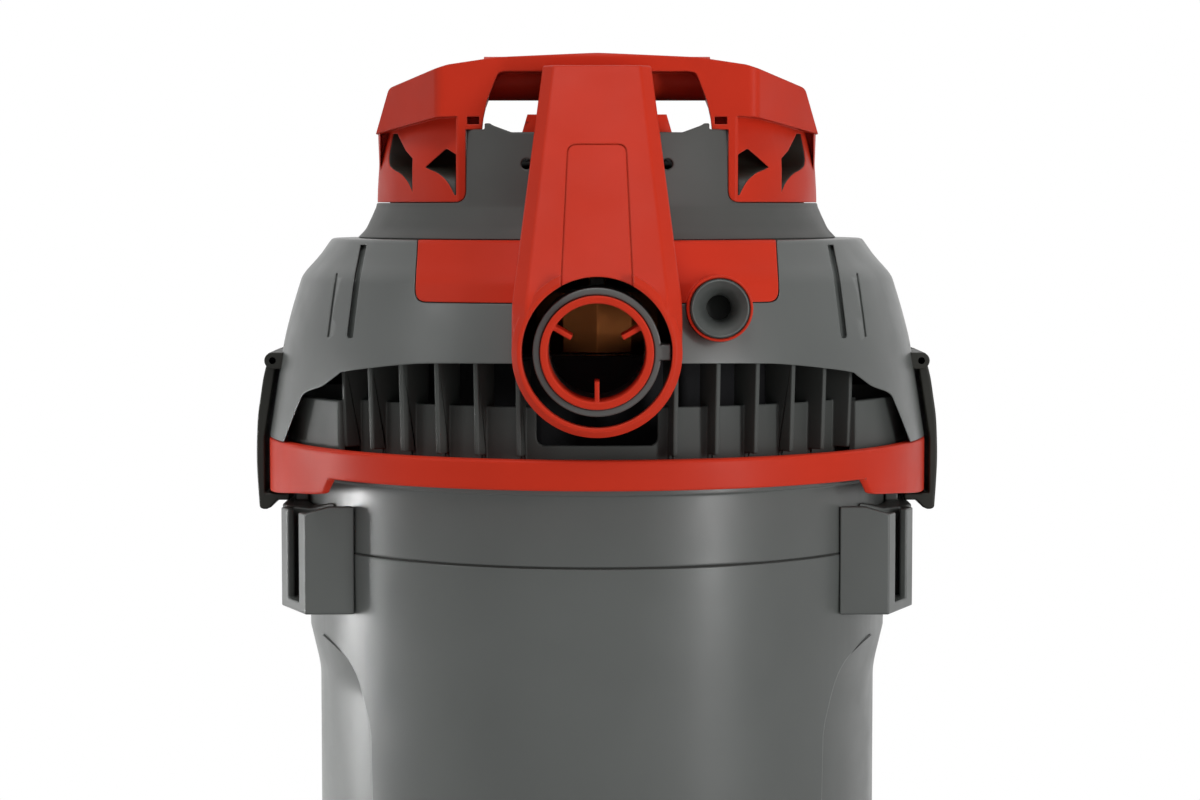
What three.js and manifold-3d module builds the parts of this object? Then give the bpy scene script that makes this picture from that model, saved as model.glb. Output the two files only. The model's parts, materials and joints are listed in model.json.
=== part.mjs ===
// A shop vacuum: a grey tank on wheels, and a lift-off head with motor, filter, handle and latches.
// Millimetres, +Z up. The origin is on the floor under the tank's axis.
// The rear, with the blow port, faces -Y, and the hose inlet faces +Y.
import * as THREE from "three";
import { mergeVertices } from "three/addons/utils/BufferGeometryUtils.js";
import Module from "manifold-3d";

const wasm = await Module();
wasm.setup();

// The driving sizes, and sizes that many pieces share
const bandRadius = 188; // outside of the red band, the widest round part
const gap = 0.3; // between pieces that touch
const weld = 0.001; // points closer than this are one
const overrun = 12; // how far a cut runs past a face
const wall = 3; // moulded walls
const largeFacets = 40; // facets round the tank and the head
const finerFacets = 24; // facets round wheels and ports
const smallFacets = 14; // facets round pins, bores and motor parts
const height = 583; // floor to the top of the handle

// Places and radii in plan, as shares of the band's radius
const radialShares = {
  // The whole
  reach: 1.0372, // axis to the face of the blow port, and to the hose inlet's
  // Tank
  tankFootRadius: 0.8032,
  tankLowRadius: 0.867,
  tankRadius: 0.8819, // at the seam
  tankTopRadius: 0.8787,
  insetRadius: 0.8484, // the insets left and right
  insetHalfLength: 0.5771,
  // Band, the red rim of the lower housing
  bandInnerRadius: 0.7979,
  skirtHalfLength: 0.6436,
  // Head shell
  ledgeInnerRadius: 0.7287,
  archHalfWidth: 0.9202,
  slotX: 0.6489,
  // Grilles
  vaneInnerRadius: 0.8138,
  vaneLowRadius: 0.9255,
  grilleWallRadius: 0.8723,
  shieldRadius: 0.9468,
  // Rear panel and column
  columnTopReach: 0.6702,
  // Blow port
  collarReach: 1.0106,
  // Cord gland
  glandReach: 0.9521,
  glandInner: 0.7872,
  glandCupFloor: 0.8511,
  // Carry handle
  handleHalfWidth: 0.6675,
  handlePlanHalf: 0.6755, // of the plan, just outside the elevation's outline
  footInnerX: 0.3766,
  footFront: 0.1755,
  handleGapX: 0.3282,
  handleRear: 0.5372,
  handleFront: 0.234,
  handleCreaseX: 0.4575,
  handleCornerRear: 0.1809,
  gripRear: 0.3511,
  pocketInnerX: 0.4043,
  pocketOuterX: 0.6436,
  pocketRibX: 0.5319,
  pocketBackTop: 0.1915,
  pocketBackLow: 0.3989,
  pocketInnerBackTop: 0.3883,
  pocketInnerBackLow: 0.5266,
  handleHollowX: 0.6117,
  handleHollowRear: -0.1277,
  // Latches
  latchPivotX: 0.9755,
  latchReach: 1.0277,
  latchTipX: 0.9654,
  latchNoseX: 0.9282,
  // Brackets on the tank's sides
  bracketHalfLength: 0.5372,
  bracketRearX: 0.8457,
  bracketRearInnerX: 0.6808,
  bracketFarX: 0.9346, // the slotted face runs from the rear corner to here
  bracketFarY: 0.3404,
  bracketWaistX: 0.9175,
  bracketWaistY: 0.2979,
  bracketMiddleX: 0.9415,
  bracketMiddleY: 0.234,
  bracketRiseX: 0.7766,
  strikeReach: 0.9468,
  strikeWallReach: 0.9122,
  // Hose inlet
  inletInner: 0.7447,
  deflectorReach: 0.5585,
  // Chassis, wheels and casters
  chassisPlateRadius: 0.7979,
  axleY: -0.5585,
  beamHalfWidth: 0.8085, // the rear beam that carries the axle
  casterX: 0.4255,
  casterY: 0.5585,
  // Lower housing, seal, filter and float
  baseRadius: 0.8351,
  sealInner: 0.8564,
  sealOuter: 0.9016,
  // Front panel, knob, socket and electronics
  seatReach: 0.9362,
  seatInner: 0.825,
};

// Heights and levels, as shares of the full height
const levelShares = {
  // Tank
  tankRim: 0.6077, // top of the rim
  tankSeam: 0.5352, // the fine groove round the tank
  insetTop: 0.4597,
  // Head shell
  shellHeight: 0.1918,
  archHeight: 0.0846, // of the shell's lower edge over the band
  slotFoot: 0.7393,
  // Grilles
  vaneHeight: 0.0858,
  grilleWallTop: 0.6793,
  // Rear panel and column
  panelLow: 0.7719,
  columnTop: 0.9863,
  columnBase: 0.7719,
  saddleTop: 0.9425,
  columnInsetTop: 0.9142,
  // Blow port
  portHeight: 0.7307,
  // Cord gland
  glandHeight: 0.7684,
  // Top cowl and deck
  cowlHeight: 0.1067,
  deckHeight: 0.9057,
  cowlHoleHeight: 0.8971,
  // Carry handle
  footLow: 0.8624,
  handleLow: 0.9417, // lower edge of the plate beside the grip
  handlePlateLow: 0.9829,
  pocketLow: 0.8688,
  pocketTop: 0.928,
  crownCornerLow: 0.9266, // of the crown's sloped underside
  crownLow: 0.9408,
  // Latches
  latchPivotHeight: 0.7093,
  // Hose inlet
  inletHeight: 0.4906,
  // Front panel, knob, socket and electronics
  frontLow: 0.7341,
};

// Lengths from their shares of one size.
function sized(shares, size) {
  const lengths = Object.entries(shares).map(([name, share]) => [name, share * size]);
  return Object.fromEntries(lengths);
}

const radial = sized(radialShares, bandRadius);
const level = sized(levelShares, height);

// Tank
const tankFloor = 92; // underside
const tankFootHeight = 14; // height of the rounded foot
const insetSlope = 18; // height over which an inset runs out into the tank
const insetLift = 20; // of the insets over the tank's floor
const insetBottom = tankFloor + insetLift;
const tankFootShares = [0.75, 0.29]; // the foot's middle point, out and up
const tankSeamDepth = 1;
const rimFlange = 5; // how far the rim stands out
const rimThickness = 4;
const insetArchShares = [
  [0, 1],
  [0.55, 0.965],
  [0.78, 0.922],
  [0.909, 0.853],
  [0.98, 0.725],
  [1, 0.65],
];

// Band, the red rim of the lower housing
const bandHeight = 15.8;
const bandWebLift = 4.4; // underside of the web over the band's lower edge
const bandLow = level.tankRim + gap;
const bandHigh = bandLow + bandHeight;
const bandWebThickness = 4;
const bandWebLow = bandLow + bandWebLift;
const bandWebHigh = bandWebLow + bandWebThickness;
const skirtShares = [[-1, 0], [-0.956, -0.49], [-0.73, -0.67], [-0.4, -0.88], [0, -1],
  [0.4, -0.88], [0.73, -0.67], [0.956, -0.49], [1, 0]];

// Head shell
const slotLean = 5;
const shellBase = bandHigh + gap;
const shellTop = shellBase + level.shellHeight;
const shellShares = [[0.999, 0], [0.9606, 0.4097], [0.9378, 0.5841], [0.908, 0.754],
  [0.8936, 0.814], [0.8511, 0.8792], [0.8213, 0.9329], [0.7979, 1]];
const archShares = [[-1, 0], [-0.947, 0.418], [-0.921, 0.57], [-0.858, 0.667], [-0.808, 0.791],
  [-0.773, 0.85], [-0.598, 0.946], [-0.44, 0.98], [0, 1], [0.44, 0.98], [0.598, 0.946],
  [0.773, 0.85], [0.808, 0.791], [0.858, 0.667], [0.921, 0.57], [0.947, 0.418], [1, 0]];
const slotWidth = 3.6; // upright slots in the rear shoulders
const shellRib = 2.4; // thickness of the upright rib inside at each side
const slotDepth = 1.6;

// Grilles
const vaneCount = 6; // on each side of the middle
const vaneFirst = 13.55; // degrees
const vaneStep = 7.6; // degrees
const shieldHalfAngle = 80; // degrees, of the wall that closes each end of a grille
const vaneThickness = 2.6;
const vaneClearance = 0.8; // inside the shell
const grilleHalfAngle = 60; // degrees

// Rear panel and column
const panelHalfWidth = 96;
const columnTopHalf = 28.8;
const columnBevelTop = 5.9; // the front bevels' width and depth
const columnBevelBase = 7.1;
const saddleBaseHalf = 40.5;
const saddleTopHalf = 37.2;
const saddleReach = 112; // how far back the saddle stands
const columnInsetTopHalf = 15.5;
const columnInsetBaseHalf = 19;
const panelCorner = 6;
const bevelMiterShare = 0.414; // how far a bevel's corner moves when the wall is inside it
const portReach = radial.reach;
const columnInsetDepth = 0.8;

// Blow port
const portRingBore = 25.2;
const portRingWall = 3.9;
const portRingRadius = portRingBore + portRingWall;
const portRingLength = 34;
const portRibInner = 15;
const collarWall = 3.6;
const collarRadius = portRingRadius + gap + collarWall;
const recessWidth = 5.5; // of the dark ring round the collar
const recessRadius = collarRadius + recessWidth;
const bossWall = 5.1;
const columnBaseHalf = recessRadius + bossWall;
const collarKeyWidth = 8;
const collarKeyClearance = 0.9;
const portRibThickness = 2.5;
const portRibAngles = [30, 150, 270]; // degrees

// Cord gland
const glandRadius = 15.3;
const glandBore = 6.5;
const glandWall = 3.1;
const glandClearance = 2.9; // between the gland's cup and the column
const glandShank = glandBore + glandWall;
const glandLip = 2;
const glandCupWall = 1.5;
const glandFlareShares = [[0, 0], [0.14, 0.3], [0.45, 0.68], [0.76, 0.9], [1, 1]];

// Top cowl and deck
const cowlNotchDrop = 5;
const cowlNotchClearance = 5.2; // beside the column's saddle
const cowlNotchInner = saddleBaseHalf + cowlNotchClearance;
const cowlNotchWidth = 13.3;
const cowlHoleInset = 3; // of the holes from the saddle's edge
const cowlFrontDrop = 11; // the rim is lower in front of the handle
const cowlBase = shellTop + gap;
const cowlTop = cowlBase + level.cowlHeight;
const cowlNeckShare = 0.9197; // of the ledge's radius
const cowlShares = [[1, 0], [0.968, 0.0756], [0.949, 0.156], [0.931, 0.2444], [cowlNeckShare, 0.3248],
  [0.905, 0.63], [0.883, 1]];
const cowlHoleRadius = 2.9;

// Carry handle
const gripRadius = 12;
const gripTopWall = 0.5; // of the crown over the grip
const gripHeight = height - gripTopWall - gripRadius;
const handleShares = [[1, 0], [0.98, 0.264], [0.988, 0.47], [0.92, 0.7855], [0.64, 0.92],
  [0.432, 0.969], [0, 1]];
const footCorner = 6;
const handleGapShares = [[1, 0], [0.925, 0.3], [0.864, 0.97], [0.8, 1]];
const handleThroatShare = 0.8; // half-width of the plan's front edge, of the gap's
const handleSideShares = [[-1, 0], [-1, 1], [-0.24, 1], [0.12, 0.93], [0.33, 0.5], [0.33, 0]];
const pocketRibThickness = 2.5;
const scoopShares = [[0, 0], [0.3, 0.33], [0.75, 0.5], [1, 1]]; // the pockets' floors
const hangShares = [[0.566, 1.28], [0.566, 0.63], [0.583, 0.63], [0.65, 0.76], [0.758, 0.46],
  [0.84, 0.74], [0.89, 0.98]]; // the plates that hang into the pockets
const hangThickness = 2.5;

// Latches
const latchHalfLength = 30;
const latchNoseHeight = 4;
const latchTipDrop = 5.2; // of the tip under the nose
const latchKnuckle = 4;
const latchPinRadius = 2;
const latchShares = [[0.9595, 1], [0.9772, 0.86], [0.9876, 0.72], [0.9964, 0.575], [1, 0.36],
  [0.998, 0.2], [0.9928, 0.02], [0.9715, 0], [0.959, 0.011]]; // of the reach, of the height
const latchClearance = 0.5;
const earThickness = 3.4;
const earRadius = 4.6;

// Brackets on the tank's sides
const bracketSlotWidth = 19;
const bracketRise = 4.2; // the top edge rises this much towards the tank
const bracketHeight = 55;
const bracketFloor = 5.5;
const strikeHalfLength = 26;
const strikeDrop = 12.6; // of the strike under the band
const bracketWall = 3.5;
const strikeThickness = 3;

// Hose inlet
const inletCollarLength = 22;
const inletCollarRadius = 36;
const inletNeckRadius = 30;
const inletBore = 25.5;
const inletSealRadius = 42;
const deflectorWall = 2.5;
const deflectorOverlap = 8;

// Chassis, wheels and casters
const skirtClearance = 8.7; // of the chassis over the forks and their stems
const wheelRadius = 62;
const wheelHalfWidth = 15;
const wheelClearance = 6;
const beamHalfLength = 38;
const channelEndWall = 24;
const casterRadius = 22;
const casterTrail = 15;
const forkRoom = 6; // over the caster's wheel
const chassisPlateThickness = 6;
const axleRadius = 6;
const axleClearance = 0.3;
const tyreDepth = 12;
const tyreShoulder = 5;
const hubBossRadius = 14;
const hubWebHalf = 3;
const hubCapRadius = 18;
const hubCapThickness = 2.4;
const beamWall = 6.3; // under the axle
const channelShares = [[-0.68, 0.843], [-0.27, -0.143], [0.27, -0.143], [0.68, 0.843]];
const beamShares = [[-0.9, 1], [-1, 0.829], [-0.8, 0.371], [-0.35, 0], [0.35, 0], [0.8, 0.371],
  [1.1, 0.914], [1.1, 0.986]]; // of the beam's half-length, of its height
const casterHalfWidth = 8;
const casterShoulder = 2.5;
const casterPinRadius = 2.5;
const forkSideRoom = 1.5; // beside the caster's wheel
const forkEarThickness = 3;
const forkPlateThickness = 5;
const forkStemRadius = 5;
const forkSocketRadius = 12;
const forkPlateShares = [-1.5, 0.8]; // the plate's ends, of the trail
const forkShares = [[-1.35, 0.288], [-0.65, 0.288], [-0.6, 0.44], [0.4, 0.909], [0.8, 0.909], [0.8, 1],
  [-1.5, 1], [-1.5, 0.76], [-1.45, 0.44]]; // of the trail, of the fork's top

// Lower housing, seal, filter and float
const filterRadius = 75;
const filterBore = 50.5;
const filterHeight = 148;
const filterRingHeight = 9;
const spigotLength = 18;
const spigotClearance = 0.7;
const knobRadius = 20;
const knobHeight = 15;
const cageClearance = 6.8; // inside the spigot
const cageHeight = 93;
const cageRingHeight = 8;
const baseThickness = 4;
const baseLow = bandWebHigh + gap;
const baseHigh = baseLow + baseThickness;
const suctionRadius = 12;
const filterPleats = 24;
const pleatDepth = 7;
const filterCapThickness = 6;
const knobStemRadius = 6;
const knobBarHalf = 4;
const cageBarCount = 5;
const cageBarWidth = 5;
const cageFloorThickness = 4;
const ballRadius = 16;

// Motor, upright on the lower housing
const gasketInner = 34;
const canRadius = 66;
const canHeight = 46;
const canPortHeight = 20;
const inductionRadius = 22;
const impellerClearance = 6.8; // inside the can
const impellerHeight = 16;
const impellerLift = 8;
const shaftLength = 106;
const shaftLift = 6;
const bearingHeight = 8;
const statorRadius = 44;
const statorHeight = 34;
const armatureRadius = 26;
const airGap = 2; // between the armature and the stator
const commutatorRadius = 12;
const commutatorHeight = 10;
const bridgeClearance = 8; // from the stator to the middle of a leg
const foamInner = 98;
const foamOuter = 116;
const foamHeight = 52;
const foamClearance = 4; // between the foam and the blow port
const gasketThickness = 4;
const canWall = 2.2;
const canPortWidth = 18;
const canPortCount = 4;
const impellerBlades = 7;
const impellerPlate = 2;
const bladeThickness = 2;
const shaftRadius = 5;
const bearingRadius = 11;
const motorClear = 3; // between stacked motor parts that turn and those that don't
const bridgeThickness = 5;
const bridgeLegWidth = 12;
const brushWidth = 8;
const brushLength = 22;

// Front panel, knob, socket and electronics
const frontHalfWidth = 78;
const seatX = 38; // of the knob's and the socket's seats
const seatMargin = 4; // of the panel under the seats
const boardWidth = 96;
const boardLift = 10;
const boardHeadroom = 10.5; // under the shell's top
const boardDepth = 15; // of the board's face behind the seats
const dialRadius = 17;
const dialDepth = 12;
const dialSpindle = 4;
const seatRadius = 23;
const socketRadius = 18;
const socketDepth = 15;
const flapThickness = 2.5;
const flapHingeRadius = 2.4;
const flapHingeHalf = 9;
const flapPinRadius = 1.2;
const boardThickness = 2;
const switchSize = 12;

// Places that follow from these sizes
const glandX = columnBaseHalf + glandRadius + glandCupWall + glandClearance;
const strikeHeight = bandLow - strikeDrop;
const latchNoseTop = strikeHeight - strikeThickness - 2 * latchClearance;
const latchNoseLow = latchNoseTop - latchNoseHeight;
const skirtDrop = bandLow - latchNoseTop - latchClearance; // deepest point of the side skirts
const bracketHigh = latchNoseLow - latchClearance;
const bracketLow = bracketHigh - bracketHeight;
const bracketSlotLow = bracketLow + bracketFloor;
const latchLow = latchNoseLow - latchTipDrop;
const latchTop = level.latchPivotHeight + latchKnuckle;
const forkHalfWidth = casterHalfWidth + forkSideRoom + forkEarThickness;
const forkTop = 2 * casterRadius + forkRoom + forkPlateThickness;
const collarInner = foamOuter + foamClearance;
const plateLow = tankFloor - gap - chassisPlateThickness;
const beamLow = wheelRadius - axleRadius - beamWall;
const stemTop = plateLow - skirtClearance;
const wheelX = radial.beamHalfWidth + wheelClearance + wheelHalfWidth;
const channelHalf = radial.beamHalfWidth - channelEndWall;
const spigotRadius = filterBore - spigotClearance;
const cageRadius = spigotRadius - wall - cageClearance;
const impellerRadius = canRadius - canWall - impellerClearance;
const cageLow = baseLow - gap - cageHeight;
const bridgeLegRadius = statorRadius + bridgeClearance;
const dialX = -seatX;
const dialHeight = level.frontLow + seatRadius + seatMargin;
const boardLow = level.frontLow + boardLift;
const boardHigh = shellTop - boardHeadroom;
const boardY = radial.seatInner - boardDepth;

// Finishes: colour, roughness, metalness
const finishes = {
  grey: ["#585b59", 0.5, 0],
  dark: ["#424341", 0.55, 0],
  red: ["#c63728", 0.45, 0],
  black: ["#1f1f1d", 0.5, 0],
  rubber: ["#1a1a1a", 0.85, 0],
  steel: ["#b4b6b8", 0.3, 1],
  copper: ["#b06a3a", 0.35, 1],
  paper: ["#e6e0cc", 0.9, 0],
  foam: ["#2a2a2c", 0.95, 0],
  board: ["#1f5a3a", 0.6, 0],
  ball: ["#e8e8e4", 0.4, 0],
};

// Outlines

// Share pairs as points of an outline.
function spread(shares, x, y, width, tall) {
  return shares.map(([a, b]) => [x + a * width, y + b * tall]);
}

function box(x0, y0, x1, y1) {
  return [[x0, y0], [x1, y0], [x1, y1], [x0, y1]];
}

// The points on the right (1) or the left (-1).
function toSide(side, points) {
  return points.map(([x, y]) => [side * x, y]);
}

// The points, then the same points mirrored, back to the first.
function bothSides(points) {
  return [...points, ...toSide(-1, points).reverse()];
}

function disc(x, y, radius, facets = finerFacets) {
  return Array.from({ length: facets }, (_, i) => {
    const angle = (2 * Math.PI * i) / facets;
    return [x + radius * Math.cos(angle), y + radius * Math.sin(angle)];
  });
}

// A box whose lower two corners are rounded.
function pouch(x0, y0, x1, y1, corner) {
  const steps = 3;
  const arc = (cx, from) => Array.from({ length: steps + 1 }, (_, i) => {
    const angle = from + ((Math.PI / 2) * i) / steps;
    return [cx + corner * Math.cos(angle), y0 + corner + corner * Math.sin(angle)];
  });
  return [[x0, y1], ...arc(x0 + corner, Math.PI), ...arc(x1 - corner, 1.5 * Math.PI), [x1, y1]];
}

// Solids

// A closed geometry as a solid, with its faces turned out.
function solid(geometry) {
  const bare = geometry.clone();
  bare.deleteAttribute("normal");
  bare.deleteAttribute("uv");
  const merged = mergeVertices(bare, weld);
  const faces = new Uint32Array(merged.index.array);
  const corners = merged.attributes.position.array;
  const mesh = { numProp: 3, vertProperties: corners, triVerts: faces };
  const make = () => new wasm.Manifold(new wasm.Mesh(mesh));
  const made = make();
  if (made.volume() > 0) return made;
  for (let i = 0; i < faces.length; i += 3) [faces[i + 1], faces[i + 2]] = [faces[i + 2], faces[i + 1]];
  return make();
}

function extruded(points, depth) {
  const shape = new THREE.Shape(points.map(([x, y]) => new THREE.Vector2(x, y)));
  return new THREE.ExtrudeGeometry(shape, { depth, bevelEnabled: false });
}

// An outline of (x, y), standing from low to high.
function upright(points, low, high) {
  return solid(extruded(points, high - low).translate(0, 0, low));
}

// An outline of (x, z), running from y = near to y = far.
function through(points, near, far) {
  return solid(extruded(points, far - near).rotateX(Math.PI / 2).translate(0, far, 0));
}

// An outline of (y, z), running from x = left to x = right.
function across(points, left, right) {
  const turn = new THREE.Matrix4().makeBasis(
    new THREE.Vector3(0, 1, 0),
    new THREE.Vector3(0, 0, 1),
    new THREE.Vector3(1, 0, 0),
  );
  return solid(extruded(points, right - left).applyMatrix4(turn).translate(left, 0, 0));
}

// An outline of (y, z), running between two distances to one side of the middle.
function sideways(points, side, from, to) {
  const [left, right] = [side * from, side * to].sort((a, b) => a - b);
  return across(points, left, right);
}

function lathe(points, facets) {
  const closed = points.map(([r, h]) => new THREE.Vector2(Math.max(r, 0), h));
  if (points[0][0] > 0 || points[points.length - 1][0] > 0) closed.push(closed[0].clone());
  return new THREE.LatheGeometry(closed, facets);
}

// A profile of (radius, z), turned round an upright axis.
function turned(points, facets = largeFacets, x = 0, y = 0) {
  return solid(lathe(points, facets).rotateX(Math.PI / 2).translate(x, y, 0));
}

// A profile of (radius, y), turned round an axis along Y.
function turnedAlongY(points, x, z, facets = finerFacets) {
  return solid(lathe(points, facets).translate(x, 0, z));
}

// A profile of (radius, x), turned round an axis along X.
function turnedAlongX(points, y, z, facets = smallFacets) {
  return solid(lathe(points, facets).rotateZ(-Math.PI / 2).translate(0, y, z));
}

function rod(radius, low, high) {
  return [[0, low], [radius, low], [radius, high], [0, high]];
}

function tube(inner, outer, low, high) {
  return [[inner, low], [outer, low], [outer, high], [inner, high]];
}

function joined(first, ...rest) {
  return rest.reduce((all, one) => all.add(one), first);
}

function cut(first, ...rest) {
  return rest.reduce((all, one) => all.subtract(one), first);
}

// A solid turned round the upright axis by some degrees.
function spun(make, degrees) {
  return solid(make.clone().rotateZ(THREE.MathUtils.degToRad(degrees)));
}

// Copies of a geometry, spaced evenly round the upright axis.
function around(make, count, startShare) {
  const fullTurn = 360;
  return Array.from({ length: count }, (_, i) => spun(make, ((i + startShare) * fullTurn) / count));
}

function blockGeometry(points, low, high) {
  return extruded(points, high - low).translate(0, 0, low);
}

const model = new THREE.Group();

function add(name, made, finish) {
  const mesh = made.getMesh();
  const geometry = new THREE.BufferGeometry();
  geometry.setAttribute("position", new THREE.BufferAttribute(mesh.vertProperties, 3));
  geometry.setIndex(new THREE.BufferAttribute(mesh.triVerts, 1));
  geometry.computeVertexNormals();
  const [color, roughness, metalness] = finishes[finish];
  const piece = new THREE.Mesh(
    geometry,
    new THREE.MeshStandardMaterial({ color, roughness, metalness }),
  );
  piece.name = name;
  model.add(piece);
}

// Shared envelopes

const shellOutline = shellShares.map(([r, h]) => [r * bandRadius, shellBase + h * level.shellHeight]);
const cowlOutline = cowlShares.map(([r, h]) => [
  r * radial.ledgeInnerRadius,
  cowlBase + h * level.cowlHeight,
]);

// The shell's outer radius at a height on its lower, sloping part.
function shellRadiusAt(z) {
  const [[footRadius, footHeight], [kneeRadius, kneeHeight]] = shellOutline;
  return footRadius + ((kneeRadius - footRadius) * (z - footHeight)) / (kneeHeight - footHeight);
}

// Everything inside the head's outer face, grown by the gap.
function headEnvelope() {
  const out = ([r, h]) => [r + gap, h];
  const shellPart = shellOutline.map(out);
  const [lastRadius] = shellPart[shellPart.length - 1];
  const cowlPart = cowlOutline.map(out);
  const [rimRadius] = cowlPart[cowlPart.length - 1];
  const rimInner = cowlOutline[cowlOutline.length - 1][0] - wall - gap;
  return turned([
    [0, shellBase - overrun],
    [shellPart[0][0], shellBase - overrun],
    ...shellPart,
    [lastRadius, shellTop + gap],
    [radial.ledgeInnerRadius + gap, shellTop + gap],
    ...cowlPart,
    [rimRadius, cowlTop + gap],
    [rimInner, cowlTop + gap],
    [rimInner, level.deckHeight + gap],
    [0, level.deckHeight + gap],
  ]);
}

// Tank

// The window of one inset, from its own radius out to past the tank.
function insetWindow(radius, grow) {
  const top = level.insetTop + grow;
  const half = radial.insetHalfLength + grow;
  const bottom = insetBottom - grow;
  const arch = insetArchShares.map(([a, b]) => [a * half, bottom + b * (top - bottom)]);
  const outline = [
    ...arch,
    [half, bottom],
    [-half, bottom],
    ...toSide(-1, arch).reverse().slice(0, -1),
  ];
  const far = radial.tankRadius + overrun;
  const core = turned([
    [0, bottom - overrun],
    [radius, bottom - overrun],
    [radius, top - insetSlope],
    [radial.tankRadius + grow, top],
    [far + overrun, top + insetSlope],
    [0, top + insetSlope],
  ]);
  return cut(across(outline, -far, far), core);
}

function tank() {
  const [outShare, upShare] = tankFootShares;
  const middleRadius = radial.tankFootRadius + (radial.tankLowRadius - radial.tankFootRadius) * outShare;
  const foot = (low, shrink) => [
    [0, low],
    [radial.tankFootRadius - shrink, low],
    [middleRadius - shrink, low + tankFootHeight * upShare],
    [radial.tankLowRadius - shrink, low + tankFootHeight],
  ];
  const outside = turned([
    ...foot(tankFloor, 0),
    [radial.tankRadius, level.tankSeam - tankSeamDepth],
    [radial.tankRadius - tankSeamDepth, level.tankSeam],
    [radial.tankTopRadius, level.tankSeam + tankSeamDepth],
    [radial.tankTopRadius, level.tankRim - rimThickness],
    [radial.tankTopRadius + rimFlange, level.tankRim - rimThickness],
    [radial.tankTopRadius + rimFlange, level.tankRim],
    [0, level.tankRim],
  ]);
  const inside = turned([
    ...foot(tankFloor + wall, wall),
    [radial.tankRadius - tankSeamDepth - wall, level.tankSeam],
    [radial.tankTopRadius - wall, level.tankRim + overrun],
    [0, level.tankRim + overrun],
  ]);
  const cavity = cut(inside, insetWindow(radial.insetRadius - wall, wall));
  const hole = rod(inletNeckRadius + gap, radial.inletInner, radial.tankRadius + overrun);
  const inletHole = turnedAlongY(hole, 0, level.inletHeight);
  return cut(outside, insetWindow(radial.insetRadius, 0), cavity, inletHole);
}

function tankEnvelope() {
  const radius = radial.tankRadius + gap;
  return turned(rod(radius, bracketLow - overrun, level.tankRim - rimThickness));
}

// Half of a bracket's plan, from the corner by the tank to the waist.
function bracketPlan(shrink) {
  return [
    [radial.bracketRearInnerX, -radial.bracketHalfLength + shrink],
    [radial.bracketRearX - shrink, -radial.bracketHalfLength + shrink],
    [radial.bracketFarX - shrink, -radial.bracketFarY + shrink / 2],
    [radial.bracketWaistX - shrink, -radial.bracketWaistY - shrink],
  ];
}

// The slot through a bracket's slanted face, in plan.
function bracketSlot() {
  const middleX = (radial.bracketRearX + radial.bracketFarX) / 2;
  const middleY = -(radial.bracketHalfLength + radial.bracketFarY) / 2;
  const slant = Math.atan2(
    radial.bracketHalfLength - radial.bracketFarY,
    radial.bracketFarX - radial.bracketRearX,
  );
  const [alongX, alongY] = [Math.cos(slant), Math.sin(slant)];
  const corner = (along, out) => [
    middleX + (along * alongX * bracketSlotWidth) / 2 + out * alongY * overrun,
    middleY + (along * alongY * bracketSlotWidth) / 2 - out * alongX * overrun,
  ];
  return [corner(-1, -1), corner(1, -1), corner(1, 1), corner(-1, 1)];
}

function bracket(side) {
  const half = [...bracketPlan(0), [radial.bracketMiddleX, -radial.bracketMiddleY]];
  const plan = [...half, ...half.map(([x, y]) => [x, -y]).reverse()];
  const block = upright(toSide(side, plan), bracketLow, bracketHigh + bracketRise);
  const far = radial.bracketMiddleX + overrun;
  const aboveTop = bracketHigh + bracketRise + overrun;
  const topTrim = through(toSide(side, [
    [far, bracketHigh],
    [radial.bracketRearX, bracketHigh],
    [radial.bracketRiseX, bracketHigh + bracketRise],
    [radial.bracketRiseX, aboveTop],
    [far, aboveTop],
  ]), -radial.reach, radial.reach);
  const strikePlan = (x) => toSide(
    side,
    box(radial.insetRadius, -strikeHalfLength, x, strikeHalfLength),
  );
  const strikeWall = upright(strikePlan(radial.strikeWallReach), bracketLow, strikeHeight);
  const strike = upright(
    strikePlan(radial.strikeReach),
    strikeHeight - strikeThickness,
    strikeHeight,
  );
  const pockets = [-1, 1].flatMap((end) => [bracketPlan(bracketWall), bracketSlot()].map((outline) => {
    const turnedEnd = toSide(side, outline.map(([x, y]) => [x, -end * y]));
    return upright(turnedEnd, bracketSlotLow, bracketHigh + bracketRise + overrun);
  }));
  return cut(joined(cut(block, topTrim), strikeWall, strike), tankEnvelope(), ...pockets);
}

// Hose inlet
function inletSocket() {
  return turnedAlongY([
    [inletBore, radial.inletInner],
    [inletNeckRadius, radial.inletInner],
    [inletNeckRadius, radial.reach - inletCollarLength],
    [inletCollarRadius, radial.reach - inletCollarLength],
    [inletCollarRadius, radial.reach],
    [inletBore, radial.reach],
  ], 0, level.inletHeight);
}

function inletSeal() {
  const far = radial.reach - inletCollarLength - gap;
  return turnedAlongY(
    tube(inletNeckRadius + gap, inletSealRadius, radial.tankRadius + gap, far),
    0,
    level.inletHeight,
  );
}

function inletDeflector() {
  const inner = inletNeckRadius + gap;
  const outer = inner + deflectorWall;
  const mouth = radial.inletInner + deflectorOverlap;
  const hood = turnedAlongY([
    [0, radial.deflectorReach],
    [outer, radial.deflectorReach],
    [outer, mouth],
    [inner, mouth],
    [inner, radial.deflectorReach + deflectorWall],
    [0, radial.deflectorReach + deflectorWall],
  ], 0, level.inletHeight);
  const exit = through(
    box(-inner, level.inletHeight - outer - overrun, inner, level.inletHeight - inner / 2),
    radial.deflectorReach + deflectorWall,
    radial.inletInner - deflectorOverlap,
  );
  return cut(hood, exit);
}

// Chassis and wheels

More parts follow.
